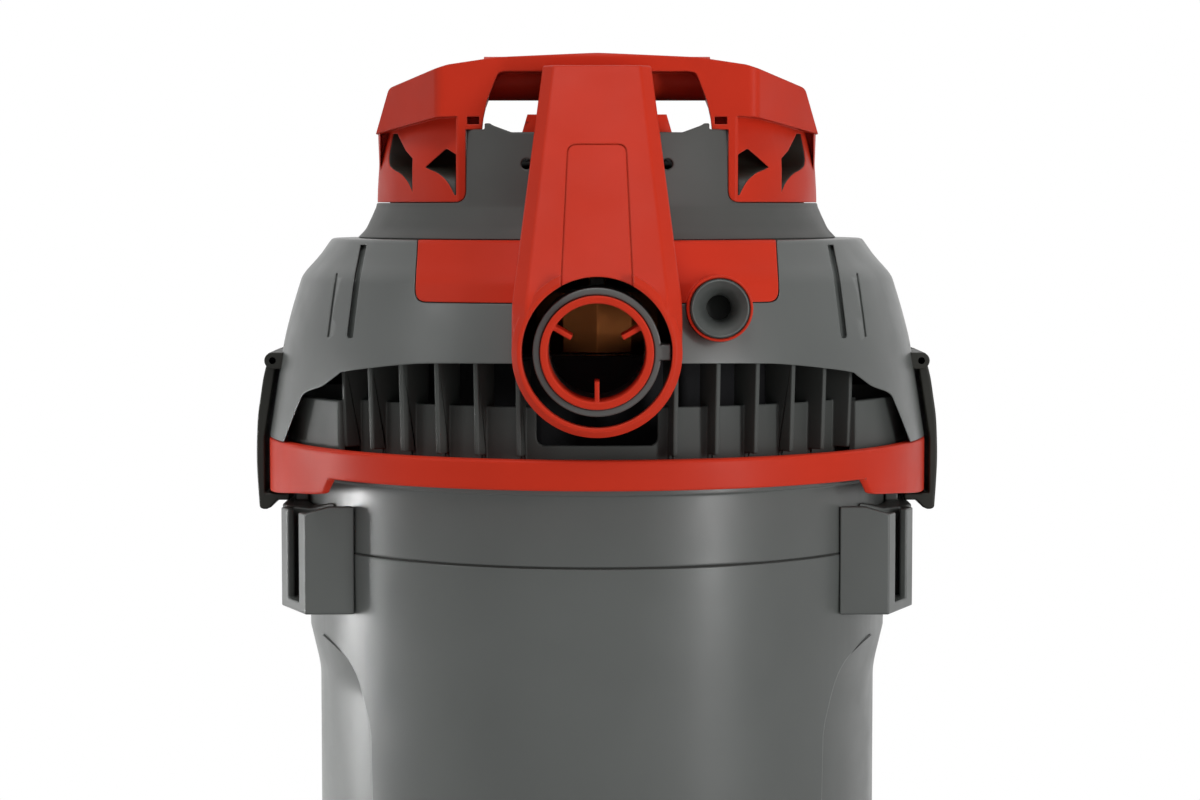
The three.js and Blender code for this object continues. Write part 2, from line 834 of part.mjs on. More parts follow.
function chassis() {
  const plate = turned([
    [0, plateLow],
    [radial.chassisPlateRadius - wall, plateLow],
    [radial.chassisPlateRadius - wall, forkTop + skirtClearance],
    [radial.chassisPlateRadius, forkTop + skirtClearance],
    [radial.chassisPlateRadius, tankFloor - gap],
    [0, tankFloor - gap],
  ]);
  const beamEnds = spread(
    beamShares,
    radial.axleY,
    beamLow,
    beamHalfLength,
    tankFloor - gap - beamLow,
  );
  const beam = across(beamEnds, -radial.beamHalfWidth, radial.beamHalfWidth);
  const channelEnds = spread(
    channelShares,
    radial.axleY,
    beamLow,
    beamHalfLength,
    tankFloor - gap - beamLow,
  );
  const channel = across(channelEnds, -channelHalf, channelHalf);
  const sockets = [-1, 1].map((side) =>
    turned(
      rod(forkSocketRadius, forkTop + gap, plateLow + wall),
      smallFacets,
      side * radial.casterX,
      radial.casterY,
    ));
  const bores = [-1, 1].map((side) =>
    turned(
      rod(forkStemRadius + gap, forkTop - overrun, stemTop + gap),
      smallFacets,
      side * radial.casterX,
      radial.casterY,
    ));
  const axleBore = turnedAlongX(
    rod(axleRadius + axleClearance, -radial.reach, radial.reach),
    radial.axleY,
    wheelRadius,
  );
  return cut(joined(plate, cut(beam, channel), ...sockets), axleBore, ...bores);
}

function rearAxle() {
  const end = wheelX + wheelHalfWidth - hubWebHalf;
  return turnedAlongX(rod(axleRadius, -end, end), radial.axleY, wheelRadius);
}

function wheelProfile(side, points) {
  return points.map(([r, x]) => [r, side * (wheelX + x)]);
}

function tyre(side) {
  const inner = wheelRadius - tyreDepth;
  const half = wheelHalfWidth;
  return turnedAlongX(wheelProfile(side, [
    [inner, -half],
    [wheelRadius - tyreShoulder, -half],
    [wheelRadius, tyreShoulder - half],
    [wheelRadius, half - tyreShoulder],
    [wheelRadius - tyreShoulder, half],
    [inner, half],
  ]), radial.axleY, wheelRadius, finerFacets);
}

function wheelHub(side) {
  const rim = wheelRadius - tyreDepth - gap;
  const bore = axleRadius + axleClearance;
  const half = wheelHalfWidth - gap;
  return turnedAlongX(wheelProfile(side, [
    [bore, -half],
    [hubBossRadius, -half],
    [hubBossRadius, -hubWebHalf],
    [rim - wall, -hubWebHalf],
    [rim - wall, -half],
    [rim, -half],
    [rim, half],
    [rim - wall, half],
    [rim - wall, hubWebHalf],
    [hubBossRadius, hubWebHalf],
    [hubBossRadius, half],
    [bore, half],
  ]), radial.axleY, wheelRadius, finerFacets);
}

function hubCap(side) {
  const seat = wheelHalfWidth;
  return turnedAlongX(wheelProfile(side, [
    [0, seat],
    [hubCapRadius, seat],
    [hubCapRadius - hubCapThickness, seat + hubCapThickness],
    [0, seat + hubCapThickness],
  ]), radial.axleY, wheelRadius);
}

const casterAxleY = radial.casterY - casterTrail;

function casterFork(side) {
  const x = side * radial.casterX;
  const outline = spread(forkShares, radial.casterY, 0, casterTrail, forkTop);
  const plateEnds = forkPlateShares.map((share) => radial.casterY + share * casterTrail);
  const ears = [-forkHalfWidth, forkHalfWidth - forkEarThickness].map((start) =>
    across(outline, x + start, x + start + forkEarThickness));
  const top = across(
    box(plateEnds[0], forkTop - forkPlateThickness, plateEnds[1], forkTop),
    x - forkHalfWidth,
    x + forkHalfWidth,
  );
  const stem = turned(
    rod(forkStemRadius, forkTop - wall, stemTop),
    smallFacets,
    x,
    radial.casterY,
  );
  const pinBore = turnedAlongX(
    rod(casterPinRadius + gap, x - radial.reach, x + radial.reach),
    casterAxleY,
    casterRadius,
  );
  return cut(joined(top, ...ears, stem), pinBore);
}

function casterWheel(side) {
  const x = side * radial.casterX;
  return turnedAlongX([
    [casterPinRadius + gap, x - casterHalfWidth],
    [casterRadius - casterShoulder, x - casterHalfWidth],
    [casterRadius, x - casterHalfWidth + casterShoulder],
    [casterRadius, x + casterHalfWidth - casterShoulder],
    [casterRadius - casterShoulder, x + casterHalfWidth],
    [casterPinRadius + gap, x + casterHalfWidth],
  ], casterAxleY, casterRadius);
}

function casterPin(side) {
  const x = side * radial.casterX;
  return turnedAlongX(
    rod(casterPinRadius, x - forkHalfWidth, x + forkHalfWidth),
    casterAxleY,
    casterRadius,
  );
}

// Head: band, shell, grilles

function rimBand() {
  const inner = bandRadius - wall;
  const skirtLow = bandLow - skirtDrop;
  const ring = turned([
    [radial.bandInnerRadius, bandWebLow],
    [inner, bandWebLow],
    [inner, skirtLow - gap],
    [bandRadius, skirtLow - gap],
    [bandRadius, bandHigh],
    [inner, bandHigh],
    [inner, bandWebHigh],
    [radial.bandInnerRadius, bandWebHigh],
  ]);
  const edge = spread(skirtShares, 0, bandLow, radial.skirtHalfLength, skirtDrop);
  const far = bandRadius + overrun;
  const below = skirtLow - overrun;
  const trim = [[-far, below], [-far, bandLow], ...edge, [far, bandLow], [far, below]];
  return cut(ring, across(trim, -far, far));
}

function archOutline(grow) {
  const arch = spread(archShares, 0, shellBase, radial.archHalfWidth + grow, level.archHeight + grow);
  const base = shellBase - overrun;
  return [[-radial.archHalfWidth - grow, base], ...arch, [radial.archHalfWidth + grow, base]];
}

function shellSolid() {
  const inside = shellOutline.map(([r, h]) => [r - wall, h]);
  const last = inside.length - 1;
  inside[last] = [inside[last][0], shellTop - wall];
  return turned([
    ...shellOutline,
    [radial.ledgeInnerRadius - wall, shellTop],
    [radial.ledgeInnerRadius - wall, shellTop - wall],
    ...inside.reverse(),
  ]);
}

// The opening that a panel fills, seen along Y.
function panelOutline(half, low, shrink) {
  return pouch(-half + shrink, low + shrink, half - shrink, shellTop + overrun, panelCorner);
}

function headShell() {
  const far = bandRadius + overrun;
  const arch = through(archOutline(0), -far, far);
  const rearOpening = through(panelOutline(panelHalfWidth, level.panelLow, 0), -far, 0);
  const frontOpening = through(panelOutline(frontHalfWidth, level.frontLow, 0), 0, far);
  const portHole = turnedAlongY(rod(recessRadius, -far, -far / 2), 0, level.portHeight);
  const cupRadius = glandRadius + glandCupWall + 2 * gap;
  const cupHole = turnedAlongY(rod(cupRadius, -far, -far / 2), glandX, level.glandHeight);
  const earReach = latchHalfLength + 2 * gap;
  const ears = [-1, 1].flatMap((side) => [-1, 1].map((end) => {
    const [near, farEnd] = [end * earReach, end * (earReach + earThickness)].sort((a, b) => a - b);
    const root = radial.latchPivotX - 2 * wall - earRadius;
    const foot = box(
      root,
      level.latchPivotHeight - earRadius,
      radial.latchPivotX,
      level.latchPivotHeight + earRadius,
    );
    return joined(
      through(
        disc(side * radial.latchPivotX, level.latchPivotHeight, earRadius, smallFacets),
        near,
        farEnd,
      ),
      through(toSide(side, foot), near, farEnd),
    );
  }));
  const backing = [-1, 1].map((side) => {
    const face = radial.latchPivotX - latchKnuckle - wall;
    return upright(
      toSide(side, box(face - 2 * wall, -earReach - earThickness, face, earReach + earThickness)),
      level.latchPivotHeight - 2 * earRadius,
      level.latchPivotHeight + 2 * earRadius,
    );
  });
  const pockets = [-1, 1].map((side) => through(
    disc(side * radial.latchPivotX, level.latchPivotHeight, latchKnuckle + latchClearance, smallFacets),
    -earReach,
    earReach,
  ));
  const pinBores = [-1, 1].map((side) => through(
    disc(side * radial.latchPivotX, level.latchPivotHeight, latchPinRadius + gap, smallFacets),
    -earReach - earThickness - overrun,
    earReach + earThickness + overrun,
  ));
  const floorOutline = shellOutline.map(([r, h]) => [r - slotDepth, h]);
  const slotFloor = turned([...floorOutline, [0, shellTop], [0, shellBase]]);
  const slots = [-1, 1].map((side) => {
    const top = shellTop - wall;
    const outline = [
      [side * (radial.slotX + slotLean), level.slotFoot],
      [side * (radial.slotX + slotLean + slotWidth), level.slotFoot],
      [side * (radial.slotX + slotWidth), top],
      [side * radial.slotX, top],
    ];
    return cut(through(outline, -far, 0), slotFloor);
  });
  const inside = shellOutline.map(([r, h]) => [r - wall + gap, h]);
  const ribRoom = turned([...inside, [0, shellTop], [0, shellBase]]);
  const ribs = [-1, 1].map((side) => upright(
    toSide(side, box(collarInner, -shellRib / 2, far, shellRib / 2)),
    shellBase,
    shellTop - wall,
  ).intersect(ribRoom));
  return cut(
    joined(cut(shellSolid(), arch, rearOpening, frontOpening), ...backing, ...ears, ...ribs),
    portHole, cupHole, ...pockets, ...pinBores, ...slots,
  );
}

function grille(end) {
  const half = THREE.MathUtils.degToRad(grilleHalfAngle);
  const far = radial.grilleWallRadius + overrun;
  const side = far * Math.tan(half);
  const wedge = upright([[0, 0], [side, end * far], [-side, end * far]], baseLow, level.grilleWallTop);
  const ring = turned(tube(
    radial.grilleWallRadius - wall,
    radial.grilleWallRadius,
    baseLow,
    level.grilleWallTop,
  ));
  const arc = ring.intersect(wedge);
  const shieldRing = turned(tube(
    radial.vaneLowRadius - gap,
    radial.shieldRadius,
    baseLow,
    level.grilleWallTop,
  ));
  const lastVane = vaneFirst + (vaneCount - 1) * vaneStep;
  const shieldPlan = (way) => [
    [0, 0],
    ...[lastVane, shieldHalfAngle].map(THREE.MathUtils.degToRad).map((turn) => (
      [way * radial.reach * Math.sin(turn), end * radial.reach * Math.cos(turn)]
    )),
  ];
  const shields = [-1, 1].map((way) => (
    shieldRing.intersect(upright(shieldPlan(way), baseLow, level.grilleWallTop))
  ));
  const vaneLow = baseHigh + gap;
  const vaneTop = shellBase + level.vaneHeight;
  const flatShare = Math.cos(Math.PI / largeFacets);
  const vaneHighRadius = (shellRadiusAt(vaneTop) - wall) * flatShare - vaneClearance;
  const face = [
    [radial.vaneInnerRadius, vaneLow],
    [radial.grilleWallRadius, vaneLow],
    [radial.grilleWallRadius, shellBase],
    [radial.vaneLowRadius, shellBase],
    [vaneHighRadius, vaneTop],
    [radial.vaneInnerRadius, vaneTop],
  ];
  const plain = extruded(face, vaneThickness).rotateX(Math.PI / 2).translate(0, vaneThickness / 2, 0);
  const middle = end > 0 ? 90 : -90;
  const vanes = [];
  for (let i = 0; i < vaneCount; i += 1) {
    for (const way of [-1, 1]) vanes.push(spun(plain, middle + way * (vaneFirst + i * vaneStep)));
  }
  const portRoom = turnedAlongY(rod(collarRadius + gap, -radial.reach, 0), 0, level.portHeight);
  const all = joined(arc, ...vanes, ...shields);
  return end < 0 ? cut(all, portRoom, collarKey(gap)) : all;
}

// Panels, column and ports

function rearPanel() {
  const far = bandRadius + overrun;
  const skin = shellSolid().intersect(through(
    panelOutline(panelHalfWidth, level.panelLow, gap),
    -far,
    0,
  ));
  const cup = turnedAlongY([
    [glandShank + gap, -radial.glandCupFloor],
    [glandRadius + glandCupWall + gap, -radial.glandCupFloor],
    [glandRadius + glandCupWall + gap, -radial.glandReach + glandLip],
    [glandRadius + gap, -radial.glandReach + glandLip],
    [glandRadius + gap, -radial.glandCupFloor - wall],
    [glandShank + gap, -radial.glandCupFloor - wall],
  ], glandX, level.glandHeight);
  const cupRoom = turnedAlongY(
    rod(glandRadius + gap, -far, -radial.glandCupFloor - wall),
    glandX,
    level.glandHeight,
  );
  const shankRoom = turnedAlongY(
    rod(glandShank + gap, -far, -far / 2),
    glandX,
    level.glandHeight,
    smallFacets,
  );
  const portHole = turnedAlongY(rod(recessRadius, -far, -far / 2), 0, level.portHeight);
  return cut(joined(skin, cup), cupRoom, shankRoom, portHole);
}

function cordGland() {
  const seat = -radial.glandCupFloor - wall - gap;
  const mouthRadius = glandRadius - glandLip / 2;
  const flare = spread(
    glandFlareShares,
    glandBore,
    seat,
    mouthRadius - glandBore,
    -radial.glandReach - seat,
  );
  return turnedAlongY([
    [glandBore, -radial.glandInner],
    [glandShank, -radial.glandInner],
    [glandShank, seat],
    [glandRadius, -radial.glandReach + glandLip],
    [glandRadius, -radial.glandReach],
    ...flare.reverse(),
  ], glandX, level.glandHeight, smallFacets);
}

// A solid between two level outlines with the same count of points.
function loft(lower, low, upper, high) {
  const count = lower.length;
  const corners = [...lower.map(([x, y]) => [x, y, low]), ...upper.map(([x, y]) => [x, y, high])];
  const faces = [];
  for (let i = 0; i < count; i += 1) {
    const next = (i + 1) % count;
    faces.push(i, next, count + next, i, count + next, count + i);
    if (i > 0 && i < count - 1) faces.push(0, i + 1, i, count, count + i, count + i + 1);
  }
  const geometry = new THREE.BufferGeometry();
  geometry.setAttribute("position", new THREE.Float32BufferAttribute(corners.flat(), 3));
  geometry.setIndex(faces);
  return solid(geometry);
}

// A level section of the column with its bevelled front corners, smaller by the shrink.
function columnSection(half, bevel, front, back, shrink) {
  const miter = bevelMiterShare * shrink;
  return bothSides([
    [half - shrink, back - shrink],
    [half - shrink, front + bevel + miter],
    [half - bevel - miter, front + shrink],
  ]);
}

function columnBody(shrink) {
  const back = -radial.handleRear - gap;
  const top = columnSection(
    columnTopHalf,
    columnBevelTop,
    -radial.columnTopReach,
    back,
    shrink,
  );
  const base = columnSection(columnBaseHalf, columnBevelBase, -portReach, back, shrink);
  return joined(
    loft(base, level.columnBase, top, level.columnTop),
    upright(base, level.portHeight, level.columnBase),
  );
}

function column() {
  const back = -radial.handleRear - gap;
  const boss = turnedAlongY([
    [0, -portReach],
    [columnBaseHalf - wall, -portReach],
    [columnBaseHalf, -portReach + wall],
    [columnBaseHalf, back],
    [0, back],
  ], 0, level.portHeight, largeFacets);
  const saddle = through(bothSides([
    [saddleTopHalf, level.saddleTop],
    [saddleBaseHalf, level.saddleTop - 2 * wall - cowlNotchDrop],
    [saddleBaseHalf, level.deckHeight],
  ]), -saddleReach, back);
  const recess = turnedAlongY(rod(recessRadius, -radial.reach, 0), 0, level.portHeight);
  const insetFace = bothSides([
    [columnInsetTopHalf - wall, level.columnInsetTop],
    [columnInsetTopHalf, level.columnInsetTop - wall],
    [columnInsetBaseHalf, level.columnBase],
    [columnInsetBaseHalf, level.portHeight],
  ]);
  const insetSide = [
    [-radial.columnTopReach + columnInsetDepth, level.columnTop],
    [-portReach + columnInsetDepth, level.columnBase],
    [-portReach + columnInsetDepth, level.portHeight],
    [-radial.reach, level.portHeight],
    [-radial.reach, level.columnTop],
  ];
  const inset = through(insetFace, -radial.reach, 0).intersect(across(
    insetSide,
    -columnBaseHalf,
    columnBaseHalf,
  ));
  const room = upright(
    box(-columnBaseHalf, -radial.reach, columnBaseHalf, 0),
    level.portHeight,
    cowlTop - cowlNotchDrop,
  );
  const hollow = columnBody(wall).intersect(room);
  return cut(joined(columnBody(0), boss, saddle), headEnvelope(), hollow, recess, inset);
}

// The block beside the collar, grown on all sides.
function collarKey(grow) {
  const halfKey = collarKeyWidth / 2 + grow;
  return through(
    box(
      portRingRadius + wall,
      level.portHeight - halfKey,
      recessRadius - collarKeyClearance + grow,
      level.portHeight + halfKey,
    ),
    -radial.collarReach - grow,
    -radial.collarReach + portRingLength + grow,
  );
}

function portCollar() {
  const inside = portReach - portRingLength;
  const collar = turnedAlongY([
    [portRingRadius + gap, -radial.collarReach],
    [collarRadius, -radial.collarReach],
    [collarRadius, -collarInner],
    [portRingBore, -collarInner],
    [portRingBore, -inside + gap],
    [portRingRadius + gap, -inside + gap],
  ], 0, level.portHeight);
  return joined(collar, collarKey(0));
}

function portRing() {
  const inside = -portReach + portRingLength;
  const ring = turnedAlongY(
    tube(portRingBore, portRingRadius, -portReach, inside),
    0,
    level.portHeight,
  );
  const ribs = portRibAngles.map((degrees) => {
    const angle = THREE.MathUtils.degToRad(degrees);
    const [c, s] = [Math.cos(angle), Math.sin(angle)];
    const t = portRibThickness / 2;
    const far = (portRingBore + portRingRadius) / 2;
    const corners = box(portRibInner, -t, far, t);
    const outline = corners.map(([a, b]) => [a * c - b * s, level.portHeight + a * s + b * c]);
    return through(outline, -portReach + wall, inside);
  });
  return joined(ring, ...ribs);
}

// Cowl and handle

function cowlFoot(side, grow) {
  const plan = [
    [radial.footInnerX - grow, -radial.reach],
    [radial.handleHalfWidth + overrun, -radial.reach],
    [radial.handleHalfWidth + overrun, radial.footFront + grow],
    [radial.footInnerX - grow, radial.footFront + grow],
  ];
  return upright(toSide(side, plan), level.footLow - grow, height + overrun);
}

function topCowl() {
  const inside = cowlOutline.filter(([, h]) => h < level.deckHeight - wall).map(([r, h]) => [r - wall, h]);
  const [rimRadius] = cowlOutline[cowlOutline.length - 1];
  const rimInner = rimRadius - wall;
  const body = turned([
    ...cowlOutline,
    [rimInner, cowlTop],
    [rimInner, level.deckHeight],
    [0, level.deckHeight],
    [0, level.deckHeight - wall],
    [inside[inside.length - 1][0], level.deckHeight - wall],
    ...inside.reverse(),
  ]);
  const notch = through(bothSides([
    [cowlNotchInner + cowlNotchWidth, cowlTop + overrun],
    [cowlNotchInner + cowlNotchWidth, cowlTop],
    [cowlNotchInner, cowlTop - cowlNotchDrop],
  ]), -radial.reach, 0);
  const frontTrim = upright(
    box(-radial.reach, radial.footFront, radial.reach, radial.reach),
    cowlTop - cowlFrontDrop,
    cowlTop + overrun,
  );
  const hole = rod(cowlHoleRadius, -radial.reach, -radial.ledgeInnerRadius / 2);
  const holes = [-1, 1].map((side) => turnedAlongY(
    hole,
    side * (saddleBaseHalf - cowlHoleInset),
    level.cowlHoleHeight,
    smallFacets,
  ));
  const feet = [-1, 1].map((side) => cowlFoot(side, gap));
  return cut(body, notch, frontTrim, ...holes, ...feet);
}

function handleElevation() {
  const outer = spread(handleShares, 0, level.footLow, radial.handleHalfWidth, height - level.footLow);
  const edge = spread(
    handleGapShares,
    0,
    level.handleLow,
    radial.handleGapX,
    level.handlePlateLow - level.handleLow,
  );
  const half = [
    ...outer.slice(0, -1).reverse(),
    [radial.footInnerX + footCorner, level.footLow],
    [radial.footInnerX, level.footLow + footCorner],
    [radial.footInnerX, level.handleLow],
    ...edge,
  ];
  const crown = outer[outer.length - 1];
  return [crown, ...half, ...toSide(-1, half).reverse()];
}

function handlePlan() {
  const half = [
    [0, -radial.handleRear],
    [radial.handleCreaseX, -radial.handleRear],
    [radial.handlePlanHalf, -radial.handleCornerRear],
    [radial.handlePlanHalf, radial.footFront],
    [radial.footInnerX, radial.footFront],
    [handleThroatShare * radial.handleGapX, -radial.handleFront],
  ];
  return [...half, ...toSide(-1, half.slice(1)).reverse()];
}

function carryHandle() {
  const plan = handlePlan();
  const bow = through(
    handleElevation(),
    -radial.reach,
    radial.reach,
  ).intersect(upright(plan, level.footLow - overrun, height));
  const profile = across(
    spread(handleSideShares, 0, level.footLow, radial.handleRear, height - level.footLow),
    -radial.reach,
    radial.reach,
  );
  const skinRadius = cowlNeckShare * radial.ledgeInnerRadius - gap;
  const plinth = turned(rod(skinRadius, level.footLow - overrun, height + overrun));
  const underside = bothSides([
    [radial.handlePlanHalf, height + overrun],
    [radial.handlePlanHalf, level.crownCornerLow],
    [radial.handleCreaseX, level.crownLow],
  ]);
  const crown = upright(plan, level.pocketLow, height + overrun)
    .intersect(through(underside, -radial.reach, radial.reach));
  const body = bow.intersect(profile).intersect(joined(plinth, crown));
  const grip = turnedAlongX(
    rod(gripRadius, -radial.handleGapX, radial.handleGapX),
    -radial.gripRear,
    gripHeight,
  );
  const scoop = (backLow, backTop) => [
    [-radial.reach, level.pocketLow],
    ...spread(scoopShares, -backLow, level.pocketLow, backLow - backTop, level.pocketTop - level.pocketLow),
    [-radial.reach, level.pocketTop],
  ];
  const innerScoop = scoop(radial.pocketInnerBackLow, radial.pocketInnerBackTop);
  const outerScoop = scoop(radial.pocketBackLow, radial.pocketBackTop);
  const cells = [-1, 1].flatMap((side) => [
    sideways(innerScoop, side, radial.pocketInnerX, radial.pocketRibX - pocketRibThickness / 2),
    sideways(outerScoop, side, radial.pocketRibX + pocketRibThickness / 2, radial.pocketOuterX),
  ]);
  const skin = turned(tube(
    skinRadius - hangThickness,
    skinRadius,
    level.footLow,
    level.handleLow + wall,
  ));
  const hangers = [-1, 1].map((side) => {
    const outline = spread(
      hangShares,
      0,
      level.footLow,
      side * radial.handleHalfWidth,
      level.pocketTop - level.footLow,
    );
    return through(outline, -radial.reach, -radial.handleCornerRear).intersect(skin);
  });
  const room = box(
    radial.handleHollowRear,
    level.footLow - overrun,
    radial.footFront - wall,
    level.handleLow,
  );
  const hollows = [-1, 1].map((side) => sideways(
    room,
    side,
    radial.footInnerX + wall,
    radial.handleHollowX,
  ));
  return joined(cut(joined(body, grip), ...cells, ...hollows), ...hangers);
}

// Latches

function latch(side) {
  const outer = spread(
    latchShares,
    0,
    latchLow,
    radial.latchReach,
    latchTop - latchLow,
  );
  const innerX = bandRadius + latchClearance;
  const neck = level.latchPivotHeight - latchKnuckle / 2;
  const outline = [
    ...outer,
    [radial.latchTipX, latchNoseLow],
    [radial.latchNoseX, latchNoseLow],
    [radial.latchNoseX, latchNoseTop],
    [innerX, latchNoseTop],
    [innerX, bandHigh],
    [shellRadiusAt(shellBase) + latchClearance, shellBase],
    [shellRadiusAt(neck) + latchClearance, neck],
  ];
  const body = through(toSide(side, outline), -latchHalfLength, latchHalfLength);
  const knuckle = through(
    disc(side * radial.latchPivotX, level.latchPivotHeight, latchKnuckle, smallFacets),
    -latchHalfLength,
    latchHalfLength,
  );
  const bore = through(
    disc(side * radial.latchPivotX, level.latchPivotHeight, latchPinRadius + gap, smallFacets),
    -radial.reach,
    radial.reach,
  );
  return cut(joined(body, knuckle), bore);
}

function latchPin(side) {
  const half = latchHalfLength + 2 * gap + earThickness;
  return through(
    disc(side * radial.latchPivotX, level.latchPivotHeight, latchPinRadius, smallFacets),
    -half,
    half,
  );
}

// Lower housing, filter and float

function lowerHousing() {
  return turned([
    [suctionRadius, baseLow],
    [spigotRadius - wall, baseLow],
    [spigotRadius - wall, baseLow - spigotLength],
    [spigotRadius, baseLow - spigotLength],
    [spigotRadius, baseLow],
    [radial.baseRadius, baseLow],
    [radial.baseRadius, baseHigh],
    [suctionRadius, baseHigh],
  ], finerFacets);
}

function rimSeal() {
  return turned(tube(radial.sealInner, radial.sealOuter, bandLow, bandWebLow - gap), finerFacets);
}

const filterTop = baseLow - gap;
const filterLow = filterTop - filterHeight;

function cartridgeFilter() {
  const star = Array.from({ length: 2 * filterPleats }, (_, i) => {
    const angle = (Math.PI * i) / filterPleats;
    const radius = i % 2 ? filterRadius - pleatDepth : filterRadius - wall;
    return [radius * Math.cos(angle), radius * Math.sin(angle)];
  });
  const pleats = upright(star, filterLow + wall, filterTop - wall);
  const rings = [filterLow, filterTop - filterRingHeight].map((low) =>
    turned(rod(filterRadius, low, low + filterRingHeight), filterPleats));
  const bore = turned(rod(filterBore, filterLow - overrun, filterTop + overrun), finerFacets);
  return cut(joined(pleats, ...rings), bore);
}

const capHigh = filterLow - gap;
const capLow = capHigh - filterCapThickness;

function filterCap() {
  return turned(tube(knobStemRadius + gap, filterRadius + wall, capLow, capHigh), finerFacets);
}

function filterKnob() {
  const top = capLow - gap;
  const grip = turned(rod(knobRadius, top - wall, top), smallFacets);
  const round = turned(rod(knobRadius, top - knobHeight, top), smallFacets);
  const plan = box(-knobRadius, -knobBarHalf, knobRadius, knobBarHalf);
  const bar = upright(plan, top - knobHeight, top - wall / 2).intersect(round);
  const stem = turned(rod(knobStemRadius, top - wall, cageLow - gap), smallFacets);
  return joined(grip, bar, stem);
}

function floatCage() {
  const top = baseLow - gap;
  const ring = turned(
    tube(cageRadius - wall, cageRadius, top - cageRingHeight, top),
    smallFacets,
  );
  const floor = turned(
    rod(cageRadius, cageLow, cageLow + cageFloorThickness),
    smallFacets,
  );
  const bar = blockGeometry(
    box(cageRadius - wall, -cageBarWidth / 2, cageRadius - gap, cageBarWidth / 2),
    cageLow + cageFloorThickness / 2,
    top - cageRingHeight / 2,
  );
  return joined(ring, floor, ...around(bar, cageBarCount, 0));
}

function floatBall() {
  const low = cageLow + cageFloorThickness + gap;
  return solid(new THREE.SphereGeometry(ballRadius, smallFacets, smallFacets / 2)
    .rotateX(Math.PI / 2).translate(0, 0, low + ballRadius));
}

// Motor

const gasketLow = baseHigh + gap;
const canLow = gasketLow + gasketThickness + gap;
const canTop = canLow + canHeight;
const impellerLow = canLow + impellerLift;
const shaftLow = canLow + shaftLift;
const statorLow = canTop + gap;
const statorTop = statorLow + statorHeight;
const commutatorLow = statorTop + motorClear;
const bridgeLow = commutatorLow + commutatorHeight + motorClear;
const lowerBearingLow = canTop - canWall - bearingHeight;
const upperBearingLow = bridgeLow - bearingHeight + bridgeThickness;

function motorGasket() {
  return turned(
    tube(gasketInner, canRadius, gasketLow, gasketLow + gasketThickness),
    finerFacets,
  );
}

function fanHousing() {
  const can = turned([
    [inductionRadius, canLow],
    [canRadius, canLow],
    [canRadius, canTop],
    [shaftRadius + motorClear, canTop],
    [shaftRadius + motorClear, canTop - canWall],
    [canRadius - canWall, canTop - canWall],
    [canRadius - canWall, canLow + canWall],
    [inductionRadius, canLow + canWall],
  ], smallFacets);
  const seat = turned(
    tube(bearingRadius + gap, bearingRadius + wall, lowerBearingLow, canTop - canWall / 2),
    smallFacets,
  );
  const window = blockGeometry(
    box(
      canRadius - 2 * canWall,
      -canPortWidth / 2,
      canRadius + overrun,
      canPortWidth / 2,
    ),
    canTop - canPortHeight - 2 * wall,
    canTop - 2 * wall,
  );
  const windows = around(window, canPortCount, 0.5);
  const bearingRoom = turned(
    rod(bearingRadius + gap, lowerBearingLow - overrun, canTop - canWall),
    smallFacets,
  );
  return cut(joined(can, seat), bearingRoom, ...windows);
}

function impeller() {
  const high = impellerLow + impellerHeight;
  const plateHigh = impellerLow + impellerPlate;
  const lower = turned(
    tube(inductionRadius, impellerRadius, impellerLow, plateHigh),
    smallFacets,
  );
  const upper = turned(
    tube(shaftRadius + gap, impellerRadius, high - impellerPlate, high),
    smallFacets,
  );
  const hub = turned(tube(shaftRadius + gap, shaftRadius + wall, impellerLow, high), smallFacets);
  const blade = blockGeometry(
    box(
      shaftRadius + wall,
      -bladeThickness / 2,
      impellerRadius - bladeThickness,
      bladeThickness / 2,
    ),
    impellerLow + impellerPlate / 2,
    high - impellerPlate / 2,
  );
  return joined(lower, upper, hub, ...around(blade, impellerBlades, 0));
}

function motorShaft() {
  return turned(rod(shaftRadius, shaftLow, shaftLow + shaftLength), smallFacets);
}

function bearing(low) {
  return turned(tube(shaftRadius + gap, bearingRadius, low, low + bearingHeight), smallFacets);
}

function stator() {
  return turned(tube(armatureRadius + airGap, statorRadius, statorLow, statorTop), smallFacets);
}

function armature() {
  const low = statorLow + motorClear;
  return turned(tube(shaftRadius + gap, armatureRadius, low, statorTop - gap), smallFacets);
}

function commutator() {
  const high = statorTop + commutatorHeight;
  return turned(tube(shaftRadius + gap, commutatorRadius, statorTop, high), smallFacets);
}

function motorBridge() {
  const top = bridgeLow + bridgeThickness;
  const far = bridgeLegRadius + wall;
  const half = bridgeLegWidth / 2;
  const bar = upright(box(-far, -half, far, half), bridgeLow, top);
  const boss = turned(rod(bearingRadius + wall, bridgeLow - wall, top + wall), smallFacets);
  const legs = [-1, 1].map((side) => upright(
    toSide(side, box(bridgeLegRadius - wall, -half, far, half)),
    canTop + gap,
    top,
  ));
  const roomHigh = upperBearingLow + bearingHeight + gap;
  const room = turned(rod(bearingRadius + gap, bridgeLow - overrun, roomHigh), smallFacets);
  const bore = turned(rod(shaftRadius + gap, bridgeLow - overrun, top + overrun), smallFacets);
  return cut(joined(bar, boss, ...legs), room, bore);
}

function brushHolder(side) {
  const from = commutatorRadius + gap;
  const y0 = Math.min(side * from, side * (from + brushLength));
  const low = statorTop + gap;
  return upright(box(-brushWidth / 2, y0, brushWidth / 2, y0 + brushLength), low, low + brushWidth);
}

function exhaustFoam() {
  return turned(
    tube(foamInner, foamOuter, baseHigh + gap, baseHigh + gap + foamHeight),
    finerFacets,
  );
}

// Front panel, knob, socket

const hingeHeight = dialHeight + seatRadius - flapHingeRadius;
const hingeY = radial.seatReach + flapHingeRadius;

